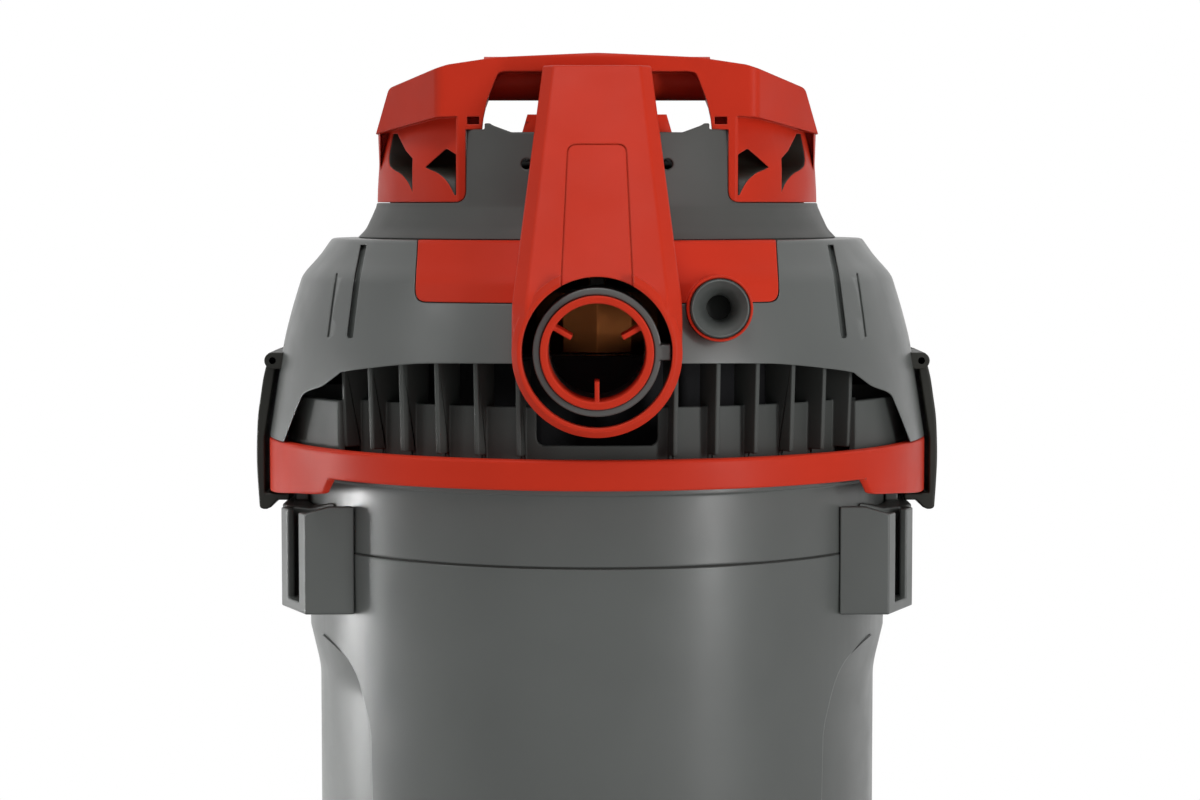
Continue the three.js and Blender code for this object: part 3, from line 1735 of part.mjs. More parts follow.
function controlPanel() {
  const far = bandRadius + overrun;
  const skin = shellSolid().intersect(through(
    panelOutline(frontHalfWidth, level.frontLow, gap),
    0,
    far,
  ));
  const dialSeat = turnedAlongY(
    rod(seatRadius, radial.seatInner, radial.seatReach),
    dialX,
    dialHeight,
  );
  const socketSeat = turnedAlongY(
    rod(seatRadius, radial.seatInner, radial.seatReach),
    seatX,
    dialHeight,
  );
  const socketWell = turnedAlongY(
    rod(socketRadius, radial.seatReach - socketDepth, far),
    seatX,
    dialHeight,
  );
  const spindleRoom = rod(dialSpindle + gap, radial.seatInner - overrun, far);
  const spindleHole = turnedAlongY(spindleRoom, dialX, dialHeight, smallFacets);
  const lugs = [-1, 1].map((side) => {
    const start = seatX + side * flapHingeHalf;
    const [left, right] = [start, start + side * wall].sort((a, b) => a - b);
    const radius = flapHingeRadius;
    return joined(
      across(disc(hingeY, hingeHeight, radius, smallFacets), left, right),
      across(
        box(radial.seatReach - wall, hingeHeight - radius, hingeY, hingeHeight + radius / 2),
        left,
        right,
      ),
    );
  });
  const pinHole = turnedAlongX(rod(flapPinRadius + gap, 0, radial.reach), hingeY, hingeHeight);
  return cut(joined(skin, dialSeat, socketSeat, ...lugs), socketWell, spindleHole, pinHole);
}

function modeKnob() {
  const seat = radial.seatReach + gap;
  const body = turnedAlongY([
    [0, seat],
    [dialRadius, seat],
    [dialRadius, seat + wall],
    [dialRadius - wall, seat + dialDepth / 2],
    [0, seat + dialDepth / 2],
  ], dialX, dialHeight);
  const bar = through(
    box(
      dialX - wall,
      dialHeight - dialRadius + wall,
      dialX + wall,
      dialHeight + dialRadius - wall,
    ),
    seat + wall,
    seat + dialDepth,
  );
  const spindle = turnedAlongY(
    rod(dialSpindle, radial.seatInner, seat + wall),
    dialX,
    dialHeight,
    smallFacets,
  );
  return joined(body, bar, spindle);
}

function socketFlap() {
  const y = radial.seatReach + gap;
  const lid = turnedAlongY(
    rod(seatRadius - wall - 2 * gap, y, y + flapThickness),
    seatX,
    dialHeight,
  );
  const half = flapHingeHalf - gap;
  const round = disc(hingeY, hingeHeight, flapHingeRadius - gap, smallFacets);
  const barrel = across(round, seatX - half, seatX + half);
  const strap = through(
    box(seatX - half, dialHeight, seatX + half, hingeHeight),
    y,
    y + flapThickness,
  );
  const pinHole = turnedAlongX(rod(flapPinRadius + gap, 0, radial.reach), hingeY, hingeHeight);
  return cut(joined(lid, barrel, strap), pinHole);
}

function flapPin() {
  const half = flapHingeHalf + wall;
  return turnedAlongX(
    rod(flapPinRadius, seatX - half, seatX + half),
    hingeY,
    hingeHeight,
  );
}

// The board and the rotary switch that is soldered to it.
function controlBoard() {
  const half = switchSize / 2;
  const board = upright(
    box(-boardWidth / 2, boardY, boardWidth / 2, boardY + boardThickness),
    boardLow,
    boardHigh,
  );
  const rotarySwitch = through(
    box(dialX - half, dialHeight - half, dialX + half, dialHeight + half),
    boardY,
    radial.seatInner - gap,
  );
  return joined(board, rotarySwitch);
}

add("tank", tank(), "grey");
add("hose_inlet_socket", inletSocket(), "black");
add("inlet_seal", inletSeal(), "rubber");
add("inlet_deflector", inletDeflector(), "black");
add("chassis", chassis(), "black");
add("rear_axle", rearAxle(), "steel");
add("rim_band", rimBand(), "red");
add("head_shell", headShell(), "grey");
add("rear_grille", grille(-1), "grey");
add("front_grille", grille(1), "grey");
add("rear_panel", rearPanel(), "red");
add("cord_gland", cordGland(), "grey");
add("rear_column", column(), "red");
add("port_collar", portCollar(), "grey");
add("port_ring", portRing(), "red");
add("top_cowl", topCowl(), "dark");
add("carry_handle", carryHandle(), "red");
add("lower_housing", lowerHousing(), "black");
add("rim_seal", rimSeal(), "rubber");
add("cartridge_filter", cartridgeFilter(), "paper");
add("filter_cap", filterCap(), "black");
add("filter_knob", filterKnob(), "red");
add("float_cage", floatCage(), "black");
add("float_ball", floatBall(), "ball");
add("motor_gasket", motorGasket(), "rubber");
add("fan_housing", fanHousing(), "steel");
add("impeller", impeller(), "steel");
add("motor_shaft", motorShaft(), "steel");
add("lower_bearing", bearing(lowerBearingLow), "steel");
add("upper_bearing", bearing(upperBearingLow), "steel");
add("stator", stator(), "copper");
add("armature", armature(), "copper");
add("commutator", commutator(), "copper");
add("motor_bridge", motorBridge(), "black");
add("brush_holder_front", brushHolder(1), "black");
add("brush_holder_rear", brushHolder(-1), "black");
add("exhaust_foam", exhaustFoam(), "foam");
add("control_panel", controlPanel(), "dark");
add("mode_knob", modeKnob(), "red");
add("socket_flap", socketFlap(), "black");
add("flap_pin", flapPin(), "steel");
add("control_board", controlBoard(), "board");
for (const [word, side] of [["left", -1], ["right", 1]]) {
  add("bracket_" + word, bracket(side), "grey");
  add("latch_" + word, latch(side), "black");
  add("latch_pin_" + word, latchPin(side), "steel");
  add("tyre_" + word, tyre(side), "rubber");
  add("wheel_hub_" + word, wheelHub(side), "grey");
  add("hub_cap_" + word, hubCap(side), "red");
  add("caster_fork_" + word, casterFork(side), "black");
  add("caster_wheel_" + word, casterWheel(side), "rubber");
  add("caster_pin_" + word, casterPin(side), "steel");
}

export default model;
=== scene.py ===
import json
import math
import bmesh
import bpy
from mathutils import Matrix, Vector

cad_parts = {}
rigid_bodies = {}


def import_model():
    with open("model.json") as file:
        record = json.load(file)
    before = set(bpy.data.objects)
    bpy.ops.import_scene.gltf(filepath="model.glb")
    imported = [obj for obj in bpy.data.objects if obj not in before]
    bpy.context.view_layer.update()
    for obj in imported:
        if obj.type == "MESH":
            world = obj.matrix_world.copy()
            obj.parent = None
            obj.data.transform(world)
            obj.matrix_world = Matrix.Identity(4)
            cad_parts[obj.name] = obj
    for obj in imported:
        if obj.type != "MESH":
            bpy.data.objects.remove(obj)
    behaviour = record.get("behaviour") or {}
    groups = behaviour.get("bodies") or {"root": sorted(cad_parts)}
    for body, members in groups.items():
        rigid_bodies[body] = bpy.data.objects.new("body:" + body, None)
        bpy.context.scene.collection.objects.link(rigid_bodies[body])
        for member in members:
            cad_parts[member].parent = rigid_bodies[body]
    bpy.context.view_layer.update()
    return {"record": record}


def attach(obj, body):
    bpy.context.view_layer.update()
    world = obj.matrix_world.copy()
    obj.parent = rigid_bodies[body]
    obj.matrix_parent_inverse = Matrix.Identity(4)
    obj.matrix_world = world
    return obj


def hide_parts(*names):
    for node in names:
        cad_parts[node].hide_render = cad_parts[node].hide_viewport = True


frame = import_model()

# A shop vacuum with its rear at -Y. Lengths are millimetres until piece() turns them into metres.
MM = 0.001
ROUND = 144  # facets round the tank and the head
FINE = 72  # facets round wheels and ports
SMALL = 32  # facets round pins and bores
FAR = 260  # past everything
REACH = 195  # from the axis to the faces of the port and the inlet
GAP = 0.3  # between pieces that meet
WALL = 3
SIDES = (("left", -1), ("right", 1))

# Centres of what runs along Y, as (x, z).
PORT = (0, 426)
GLAND = (63.3, 448)
INLET = (0, 286)
DIAL = (-38, 455)
SOCKET = (38, 455)

# Centres of what runs along X, as (y, z), and where the wheels stand.
FLAP_PIN = (178.4, 475.6)
REAR_AXLE = (-105, 62)
CASTER_AXLE = (90, 22)
WHEEL_X = 173
CASTER_X = 80
SWIVEL_Y = 105

# Levels and radii that several pieces share.
TANK_RIM = 350.3
SHELL_LOW = 370.7
SHELL_TOP = 482.5
DECK = 528
COWL_TOP = 545
PORT_ROOM = 38.5
LATCH_BORE = 2.3


# Outlines

def spread(shares, x, y, width, tall):
    return [(x + a * width, y + b * tall) for a, b in shares]


def box(x0, y0, x1, y1):
    return [(x0, y0), (x1, y0), (x1, y1), (x0, y1)]


def flipped(points):
    """The same outline on the other side of the middle."""
    return [(-p[0], *p[1:]) for p in points]


def both_sides(points):
    return list(points) + flipped(points)[::-1]


def whole(half):
    """A line that ends at the middle, carried on to the other side."""
    return half + flipped(half)[::-1][1:]


def to_side(side, points):
    return [(side * p[0], *p[1:]) for p in points]


def span(side, near, far):
    """Two places on one side of the middle, the lower first."""
    return sorted((side * near, side * far))


def on_circle(centre, radius, turn):
    return centre[0] + radius * math.cos(turn), centre[1] + radius * math.sin(turn)


def disc(centre, radius, facets=SMALL):
    return [on_circle(centre, radius, 2 * math.pi * i / facets) for i in range(facets)]


def swung(points, centre, turn):
    """An outline turned about the origin, then moved to a centre."""
    c, s = math.cos(turn), math.sin(turn)
    return [(centre[0] + u * c - v * s, centre[1] + u * s + v * c) for u, v in points]


def fillet(points, steps=5):
    """Rounds each corner that carries a radius as its third number."""
    out = []
    for i, point in enumerate(points):
        here = Vector(point[:2])
        radius = point[2] if len(point) > 2 else 0
        if not radius:
            out.append(tuple(here))
            continue
        before = Vector(points[i - 1][:2]) - here
        after = Vector(points[(i + 1) % len(points)][:2]) - here
        cut_back = radius / math.tan(before.angle(after) / 2)
        cut_back = min(cut_back, 0.49 * before.length, 0.49 * after.length)
        start = here + before.normalized() * cut_back
        end = here + after.normalized() * cut_back
        for k in range(steps + 1):
            t = k / steps
            out.append(tuple(start * (1 - t) ** 2 + here * 2 * t * (1 - t) + end * t * t))
    return out


def soft_box(x0, y0, x1, y1, radius):
    return fillet([(x, y, radius) for x, y in box(x0, y0, x1, y1)])


def curve(points, steps=4):
    """A smooth open curve through the points."""
    ends = [points[0]] + list(points) + [points[-1]]
    out = []
    for four in zip(ends, ends[1:], ends[2:], ends[3:]):
        for k in range(steps):
            t = k / steps
            out.append(tuple(
                0.5 * (2 * b + (c - a) * t + (2 * a - 5 * b + 4 * c - d) * t * t
                       + (3 * b - a - 3 * c + d) * t ** 3)
                for a, b, c, d in zip(*four)))
    out.append(tuple(points[-1]))
    return out


def rod(radius, low, high):
    return [(0, low), (radius, low), (radius, high), (0, high)]


def tube(inner, outer, low, high):
    return [(inner, low), (outer, low), (outer, high), (inner, high)]


# Solids

AXES = {"X": lambda u, v, w: (w, u, v), "Y": lambda u, v, w: (u, w, v), "Z": lambda u, v, w: (u, v, w)}


def placed(name, data):
    """A new object in the scene."""
    made = bpy.data.objects.new(name, data)
    bpy.context.scene.collection.objects.link(made)
    return made


def solid(bm):
    bmesh.ops.remove_doubles(bm, verts=bm.verts, dist=0.0001)
    bmesh.ops.recalc_face_normals(bm, faces=bm.faces)
    mesh = bpy.data.meshes.new("solid")
    bm.to_mesh(mesh)
    bm.free()
    return placed("solid", mesh)


def stacked(bm, rings):
    """Closes rings of equally many points into one body."""
    bm.faces.new(rings[0])
    bm.faces.new(rings[-1][::-1])
    for lower, upper in zip(rings, rings[1:]):
        for i in range(len(lower)):
            j = (i + 1) % len(lower)
            bm.faces.new((lower[i], lower[j], upper[j], upper[i]))
    return solid(bm)


def prism(points, low, high, axis="Z"):
    """An outline drawn out along an axis: (x, y) along Z, (x, z) along Y, (y, z) along X."""
    bm = bmesh.new()
    place = AXES[axis]
    return stacked(bm, [[bm.verts.new(place(*p[:2], along)) for p in points] for along in (low, high)])


def loft(*levels):
    """A skin through outlines of equally many points, each with its height."""
    bm = bmesh.new()
    return stacked(bm, [[bm.verts.new((x, y, z)) for x, y in ring] for ring, z in levels])


def turned(profile, facets=ROUND, axis="Z", at=(0, 0)):
    """A profile of (radius, place along the axis), turned round the axis through a point."""
    bm = bmesh.new()
    place = AXES[axis]
    rings = []
    for radius, along in (p[:2] for p in profile):
        count = facets if radius > 0 else 1
        turns = [2 * math.pi * k / facets for k in range(count)]
        rings.append([bm.verts.new(place(*on_circle(at, radius, a), along)) for a in turns])
    pairs = list(zip(rings, rings[1:]))
    if len(rings[0]) > 1 or len(rings[-1]) > 1:
        pairs.append((rings[-1], rings[0]))
    for first, second in pairs:
        for k in range(facets):
            n = (k + 1) % facets
            corners = []
            for ring, places in ((first, (k, n)), (second, (n, k))):
                corners += [ring[0]] if len(ring) == 1 else [ring[places[0]], ring[places[1]]]
            if len(corners) > 2:
                bm.faces.new(corners)
    return solid(bm)


def applied(made, used=()):
    """Turns a form's modifiers into mesh, and removes the forms that they used up."""
    graph = bpy.context.evaluated_depsgraph_get()
    result = bpy.data.meshes.new_from_object(made.evaluated_get(graph))
    made.modifiers.clear()
    spent = [made.data] + [other.data for other in used]
    made.data = result
    for other in used:
        bpy.data.objects.remove(other)
    for mesh in spent:
        bpy.data.meshes.remove(mesh)
    return made


def combined(first, others, operation):
    for other in others:
        step = first.modifiers.new("step", "BOOLEAN")
        step.solver = "MANIFOLD"
        step.operation = operation
        step.object = other
    return applied(first, others)


def joined(first, *others):
    return combined(first, others, "UNION")


def cut(first, *others):
    return combined(first, others, "DIFFERENCE")


def met(first, *others):
    return combined(first, others, "INTERSECT")


def spun(made, degrees):
    made.data.transform(Matrix.Rotation(math.radians(degrees), 4, "Z"))
    return made


def bevelled(made, width, angle, segments):
    bevel = made.modifiers.new("edges", "BEVEL")
    bevel.width = width
    bevel.segments = segments
    bevel.limit_method = "ANGLE"
    bevel.angle_limit = math.radians(angle)
    return bevel


def rounded(made, width):
    """Rounds the edges of a form before anything is cut out of it."""
    bevelled(made, width, angle=30, segments=3)
    return applied(made)


def piece(name, made, body, nodes, material, edge=0.6, angle=32, segments=2):
    """Names a solid, rounds its edges, and puts it in the place of some CAD nodes."""
    made.name = name
    made.data.name = name
    bm = bmesh.new()
    bm.from_mesh(made.data)
    bmesh.ops.dissolve_degenerate(bm, dist=0.003, edges=bm.edges)
    bmesh.ops.scale(bm, vec=(MM, MM, MM), verts=bm.verts)
    bm.to_mesh(made.data)
    bm.free()
    for face in made.data.polygons:
        face.use_smooth = True
    made.data.set_sharp_from_angle(angle=math.radians(angle))
    if edge:
        bevel = bevelled(made, edge * MM, angle, segments)
        bevel.use_clamp_overlap = False
        bevel.miter_outer = "MITER_ARC"
    weighted = made.modifiers.new("normals", "WEIGHTED_NORMAL")
    weighted.keep_sharp = True
    made.data.materials.clear()
    made.data.materials.append(materials[material])
    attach(made, body)
    if nodes:
        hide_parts(*nodes)


# Materials

MOTTLE = 0.06  # how far the tone drifts over a face
EVEN = (1, 1, 1)


def linear(colour):
    """A colour written as #rrggbb, as a shader takes it."""
    parts = [int(colour[i:i + 2], 16) / 255 for i in (1, 3, 5)]
    return [c / 12.92 if c <= 0.04045 else ((c + 0.055) / 1.055) ** 2.4 for c in parts] + [1]


def node(tree, kind, inputs=None, **settings):
    made = tree.nodes.new("ShaderNode" + kind)
    for key, value in settings.items():
        setattr(made, key, value)
    for key, value in (inputs or {}).items():
        if isinstance(value, bpy.types.NodeSocket):
            tree.links.new(value, made.inputs[key])
        else:
            made.inputs[key].default_value = value
    return made


def math_node(tree, first, second, operation):
    return node(tree, "Math", {0: first, 1: second}, operation=operation).outputs[0]


def noise(tree, where, scale, detail, stretch=EVEN):
    moved = node(tree, "Mapping", {"Vector": where, "Scale": stretch}).outputs[0]
    return node(tree, "TexNoise", {"Vector": moved, "Scale": scale, "Detail": detail}).outputs["Fac"]


def ranged(tree, value, low, high, start=0.3, end=0.7):
    """Carries a value from one range over to another. Noise lies between 0.3 and 0.7."""
    return node(tree, "MapRange", {"Value": value, "From Min": start, "From Max": end,
                                   "To Min": low, "To Max": high}).outputs[0]


def new_material(name, colour, rough, grain=0.12, grain_scale=1800, wear_and_highlight=0.18, worn_and_lit=None,
                 metal=0, stretch=EVEN, specular=0.25):
    made = bpy.data.materials.new(name)
    made.use_nodes = True
    tree = made.node_tree
    shader = tree.nodes["Principled BSDF"]
    where = node(tree, "TexCoord").outputs["Object"]
    base = linear(colour)
    cloud = ranged(tree, noise(tree, where, 14, 4), 1 - MOTTLE, 1 + MOTTLE)
    tinted = node(tree, "VectorMath", {0: base[:3], "Scale": cloud}, operation="SCALE").outputs[0]
    # Edges are painted paler: partly wear where they are handled, partly a painted highlight along them.
    soft = node(tree, "Bevel", {"Radius": 0.0012}, samples=6).outputs[0]
    flat = node(tree, "NewGeometry").outputs["Normal"]
    facing = node(tree, "VectorMath", {0: soft, 1: flat}, operation="DOT_PRODUCT").outputs["Value"]
    edge = ranged(tree, facing, 0, wear_and_highlight, 0.985, 0.9)
    scuffs = ranged(tree, noise(tree, where, 60, 5), 0.2, 1)
    amount = math_node(tree, edge, scuffs, "MULTIPLY")
    pale = linear(worn_and_lit)[:3] if worn_and_lit else [min(1, c * 2.2 + 0.03) for c in base[:3]]
    blend = node(tree, "MixRGB", {"Fac": amount, "Color1": tinted, "Color2": [*pale, 1]})
    tree.links.new(blend.outputs[0], shader.inputs["Base Color"])
    # Smears change the gloss, and a fine grain the shading.
    smear = ranged(tree, noise(tree, where, 35, 5, stretch), rough - 0.05, rough + 0.06)
    tree.links.new(smear, shader.inputs["Roughness"])
    fine = noise(tree, where, grain_scale, 2, stretch)
    bump = node(tree, "Bump", {"Height": fine, "Strength": grain, "Distance": 0.0002, "Normal": soft})
    tree.links.new(bump.outputs[0], shader.inputs["Normal"])
    shader.inputs["Metallic"].default_value = metal
    shader.inputs["Specular IOR Level"].default_value = specular
    return made


LOOKS = {
    "grey_plastic": dict(colour="#545755", rough=0.34, wear_and_highlight=0.22, specular=0.5),
    "vent_plastic": dict(colour="#4b4e4c", rough=0.48, wear_and_highlight=0.22, specular=0.2),
    "dark_plastic": dict(colour="#4a4b49", rough=0.5, grain=0.22, wear_and_highlight=0.2),
    "red_plastic": dict(colour="#cc341e", rough=0.45, grain=0.1, wear_and_highlight=0.25, worn_and_lit="#dd7a66", specular=0.12),
    "black_plastic": dict(colour="#24241f", rough=0.42, grain=0.15, wear_and_highlight=0.3),
    "rubber": dict(colour="#151515", rough=0.75, grain=0.3, grain_scale=900, wear_and_highlight=0.15),
    "tyre": dict(colour="#1a1a1a", rough=0.7, grain=0.35, grain_scale=700, wear_and_highlight=0.2),
    "steel": dict(colour="#b9bbbd", rough=0.28, grain=0.06, metal=1, stretch=(1, 1, 12)),
    "aluminium": dict(colour="#c9cacc", rough=0.35, grain=0.1, metal=1),
    "copper": dict(colour="#b06a3a", rough=0.35, grain=0.2, metal=1, stretch=(1, 1, 20)),
    "filter_paper": dict(colour="#e4dcc4", rough=0.85, grain=0.5, grain_scale=500, wear_and_highlight=0.1),
    "foam": dict(colour="#2a2a2c", rough=0.95, grain=1, grain_scale=260, wear_and_highlight=0),
    "ball_plastic": dict(colour="#e6e6e0", rough=0.35, grain=0.05),
    "circuit_board": dict(colour="#1f5a3a", rough=0.5, grain=0.1),
    # A near-black for the sheets that stand for shade: painted shade.
    "shadowed_plastic": dict(colour="#2a2b29", rough=0.6, grain=0.15, wear_and_highlight=0.05),
}
materials = {name: new_material(name, **look) for name, look in LOOKS.items()}

# Every CAD node first takes the material of its slot; the pieces below stand in for the ones in view.
for row in frame["record"]["subparts"]:
    for obj in bpy.data.objects:
        if obj.name == row["node"]:
            obj.data.materials.clear()
            obj.data.materials.append(materials[row["material_slot"]])


# Tank

INSET_ARCH = whole([(-1, 0.65), (-0.98, 0.725), (-0.909, 0.853), (-0.78, 0.922), (-0.55, 0.965), (0, 1)])


def tank_foot(low, shrink):
    return [(0, low), (151 - shrink, low, 5), (160 - shrink, low + 4, 8), (163 - shrink, low + 14, 10)]


def inset_window(radius, grow):
    """What is cut out of the tank's wall at each side to leave an inset panel."""
    top, half, bottom = 268 + grow, 108.5 + grow, 112 - grow
    arch = curve(spread(INSET_ARCH, 0, bottom, half, top - bottom))
    outline = fillet([(half, bottom, 22), *arch[::-1], (-half, bottom, 22)])
    core = turned(fillet([(0, bottom - 12), (radius, bottom - 12), (radius, top - 30, 60),
                          (166 + grow, top - 2), (190, top + 14), (0, top + 14)], 8))
    return cut(prism(outline, -178, 178, "X"), core)


def tank():
    over = FAR + 120  # above the rim
    outside = fillet(tank_foot(92, 0) + [
        (165.75, 310.4), (165.8, 311, 0.3), (164.9, 312, 0.3), (165.3, 313, 0.3), (165.2, TANK_RIM),
        (170.2, TANK_RIM, 0.8), (170.2, 354.3, 1.2), (0, 354.3)], 4)
    inside = fillet(tank_foot(95, WALL) + [(161.8, 312), (162.2, over), (0, over)], 4)
    cavity = cut(turned(inside), inset_window(156.5, WALL))
    hole = turned(rod(30.3, 140, 180), FINE, "Y", INLET)
    made = cut(turned(outside), inset_window(159.5, 0), cavity, hole)
    piece("tank_body", made, "tank", ["tank"], "grey_plastic", edge=1.1, angle=38, segments=3)
    # A dark ring in the seam's groove: painted shade that makes the groove read as a dark line.
    seam_shade = turned(tube(164, 165.5, 311.5, 312.4))
    piece("tank_seam", seam_shade, "tank", [], "shadowed_plastic", edge=0)


def bracket_plan(shrink):
    return [(128, -101 + shrink), (159 - shrink, -101 + shrink), (175.7 - shrink, -64 + shrink / 2),
            (172.5 - shrink, -56 - shrink)]


def brackets():
    low, high = 278.5, 337.7
    half = bracket_plan(0) + [(177, -44)]
    plan = fillet([(x, y, 1.2) for x, y in half + [(x, -y) for x, y in half][::-1]], 3)
    shoulder = [(190, 333.5), (159, 333.5), (146, high), (146, 350), (190, 350)]
    # Each pocket also opens through the slanted face.
    slant = math.atan2(37, 16.7)
    along = Vector((math.cos(slant), math.sin(slant))) * 9.5
    out = Vector((math.sin(slant), -math.cos(slant))) * 12
    mouth = [Vector((167.35, -82.5)) + along * a + out * b for a, b in box(-1, -1, 1, 1)]
    for word, side in SIDES:
        block = prism(to_side(side, plan), low, high)
        top = prism(to_side(side, shoulder), -150, 150, "Y")
        wall = prism(to_side(side, box(159.5, -26, 171.5, 26)), low, 342)
        strike = prism(to_side(side, box(159.5, -26, 178, 26)), 339, 342)
        pockets = [prism(to_side(side, [(p[0], -end * p[1]) for p in outline]), 284, 360)
                   for end in (-1, 1) for outline in (bracket_plan(3.5), mouth)]
        drum = turned(rod(166.1, 260, TANK_RIM))
        made = cut(joined(cut(block, top), wall, strike), drum, *pockets)
        piece("bracket_body_" + word, made, "tank", ["bracket_" + word], "grey_plastic", edge=0.8)


def hose_inlet():
    socket = turned(fillet([(25.5, 140), (30, 140), (30, 173), (36, 173, 1.5), (36, REACH, 2),
                            (27.5, REACH, 1.5), (25.5, 191)]), FINE, "Y", INLET)
    grooves = []
    for i in range(30):
        centre = on_circle(INLET, 36.6, 2 * math.pi * i / 30)
        grooves.append(prism(disc(centre, 1.1, 12), 176, 190, "Y"))
    piece("inlet_socket", cut(socket, *grooves), "tank", ["hose_inlet_socket"], "black_plastic", edge=0.4)


# Head

SKIRT = [(-1, 0), (-0.97, -0.35), (-0.956, -0.49), (-0.9, -0.57), (-0.73, -0.67), (-0.4, -0.88), (0, -1)]
SHELL = [(187.8, SHELL_LOW), (180.6, 416.5), (176.3, 436), (170.7, 455), (167.8, 462.2), (161.2, 469.8)]
SHOULDER = [(157.5, 474.2), (153, 480.6), (151.8, 482), (150.3, SHELL_TOP)]
ARCH = [(-1, 0), (-0.947, 0.418), (-0.921, 0.57), (-0.858, 0.667), (-0.808, 0.791), (-0.773, 0.85),
        (-0.598, 0.946), (-0.44, 0.98), (0, 1)]


def rim_band():
    inner, outer, low, top = 185, 188, 338.5, 370.4
    ring = turned(fillet([
        (150, 359), (inner, 359, 1), (inner, low), (outer, low), (outer, top, 2.2),
        (inner - WALL, top, 0.6), (inner - WALL, 363), (150, 363)]))
    skirt_top = 354.6
    edge = whole(curve(spread(SKIRT, 0, skirt_top, 121, 16.2)))
    trim = prism([(-FAR, 300), (-FAR, skirt_top), *edge, (FAR, skirt_top), (FAR, 300)], -FAR, FAR, "X")
    piece("band", cut(ring, trim), "head", ["rim_band"], "red_plastic", edge=0.7)


def shell_profile(grow=0):
    return [(r + grow, h) for r, h in curve(SHELL) + SHOULDER]


def shell_radius(level):
    (r0, h0), (r1, h1) = SHELL[:2]
    return r0 + (r1 - r0) * (level - h0) / (h1 - h0)


def shell_skin():
    under = SHELL_TOP - WALL
    inner = [(r, min(h, under)) for r, h in shell_profile(-WALL)]
    return turned(shell_profile() + [(134, SHELL_TOP), (134, under)] + inner[::-1])


def shell_core(depth, top=SHELL_TOP):
    """All that lies deeper than this under the shell's outside."""
    return turned(shell_profile(-depth) + [(0, top), (0, SHELL_LOW)])


def panel_room(end, shrink=0):
    """The room of the rear (-1) or front (1) panel in the shell."""
    half, low = (96, 450) if end < 0 else (78, 428)
    half, low = half - shrink, low + shrink
    outline = fillet([(-half, 500), (-half, low, 6), (half, low, 6), (half, 500)])
    return prism(outline, *span(end, 0, FAR), "Y")


def latch_pin(side):
    return side * 183.4, 413.5


def latch_ears():
    """The ears on the shell that carry the latches' pins."""
    radius = 4.6
    x, z = latch_pin(1)
    for word, side in SIDES:
        for place, end in (("rear", -1), ("front", 1)):
            near, far = span(end, 30.6, 34)
            ear = joined(prism(disc(latch_pin(side), radius), near, far, "Y"),
                         prism(to_side(side, box(177, z - radius, x, z + radius)), near, far, "Y"))
            piece(f"latch_ear_{word}_{place}", ear, "head", [], "black_plastic", edge=0)


def head_shell():
    half, low = 173, 350
    edge = whole(curve(spread(ARCH, 0, SHELL_LOW, half, 49.3)))
    arch = prism([(-half, low), *edge, (half, low)], -FAR, FAR, "Y")
    port = turned(rod(PORT_ROOM, -FAR, -80), FINE, "Y", PORT)
    cup = turned(rod(17.4, -FAR, -80), FINE, "Y", GLAND)
    slot = fillet([(130.4, 430, 1.8), (134, 430, 1.8), (129, 479.5), (125.4, 479.5)])
    line = [(144.6, 430), (145.8, 430), (142.2, 464), (141, 464)]
    seats, cutters = [], []
    for side in (-1, 1):
        seats.append(prism(to_side(side, box(170.4, -34, 176.4, 34)), 404.3, 422.7))
        cutters.append(prism(disc(latch_pin(side), 4.5), -30.6, 30.6, "Y"))
        cutters.append(prism(disc(latch_pin(side), LATCH_BORE), -60, 60, "Y"))
        cutters.append(cut(prism(to_side(side, slot), -FAR, 0, "Y"), shell_core(2.6)))
        cutters.append(cut(prism(to_side(side, line), -FAR, 0, "Y"), shell_core(0.7)))
    skin = cut(shell_skin(), arch, panel_room(-1), panel_room(1))
    made = cut(joined(skin, *seats), port, cup, *cutters)
    for side in (-1, 1):
        rib = prism(to_side(side, box(120, -1.2, REACH, 1.2)), SHELL_LOW, SHELL_TOP - WALL)
        made = joined(made, met(rib, shell_core(2.7)))
    piece("shell", made, "head", ["head_shell"], "grey_plastic", edge=0, angle=40)


def shell_lining():
    """Dark skins inside the shell and on its ribs stop light coming through the seams; their dark colour is
    painted shade.
    """
    depth = 3.4
    outer = [(r, h) for r, h in shell_profile(-depth) if 430 < h < 479]
    skin = turned(outer + [(r - 1.2, h) for r, h in outer[::-1]])
    rooms = [turned(rod(40, -FAR, 0), FINE, "Y", PORT)]
    rooms += [turned(rod(23.5, 0, FAR), FINE, "Y", centre) for centre in (DIAL, SOCKET)]
    piece("shell_lining", cut(skin, *rooms), "head", [], "shadowed_plastic", edge=0)
    # Dark slabs on the ribs behind the vents: painted shade.
    for word, side in SIDES:
        shade = prism(to_side(side, box(121, -1.9, REACH, 1.9)), 398, 478)
        made = met(shade, shell_core(depth, 479))
        piece("shell_rib_shade_" + word, made, "head", [], "shadowed_plastic", edge=0)


def rear_panel():
    throat, inner, outer = 9.9, 15.6, 17.1
    front, floor, back = -177, -163, -160
    cup = turned(fillet([(throat, back), (outer, back), (outer, front, 0.8), (inner, front, 0.6),
                         (inner, floor), (throat, floor)]), FINE, "Y", GLAND)
    room = turned(rod(inner, -FAR, floor), FINE, "Y", GLAND)
    shank = turned(rod(throat, -FAR, -80), FINE, "Y", GLAND)
    port = turned(rod(PORT_ROOM, -FAR, -80), FINE, "Y", PORT)
    made = cut(joined(met(shell_skin(), panel_room(-1, 0.5)), cup), room, shank, port)
    piece("wing_panel", made, "head", ["rear_panel"], "red_plastic", edge=0, angle=40)


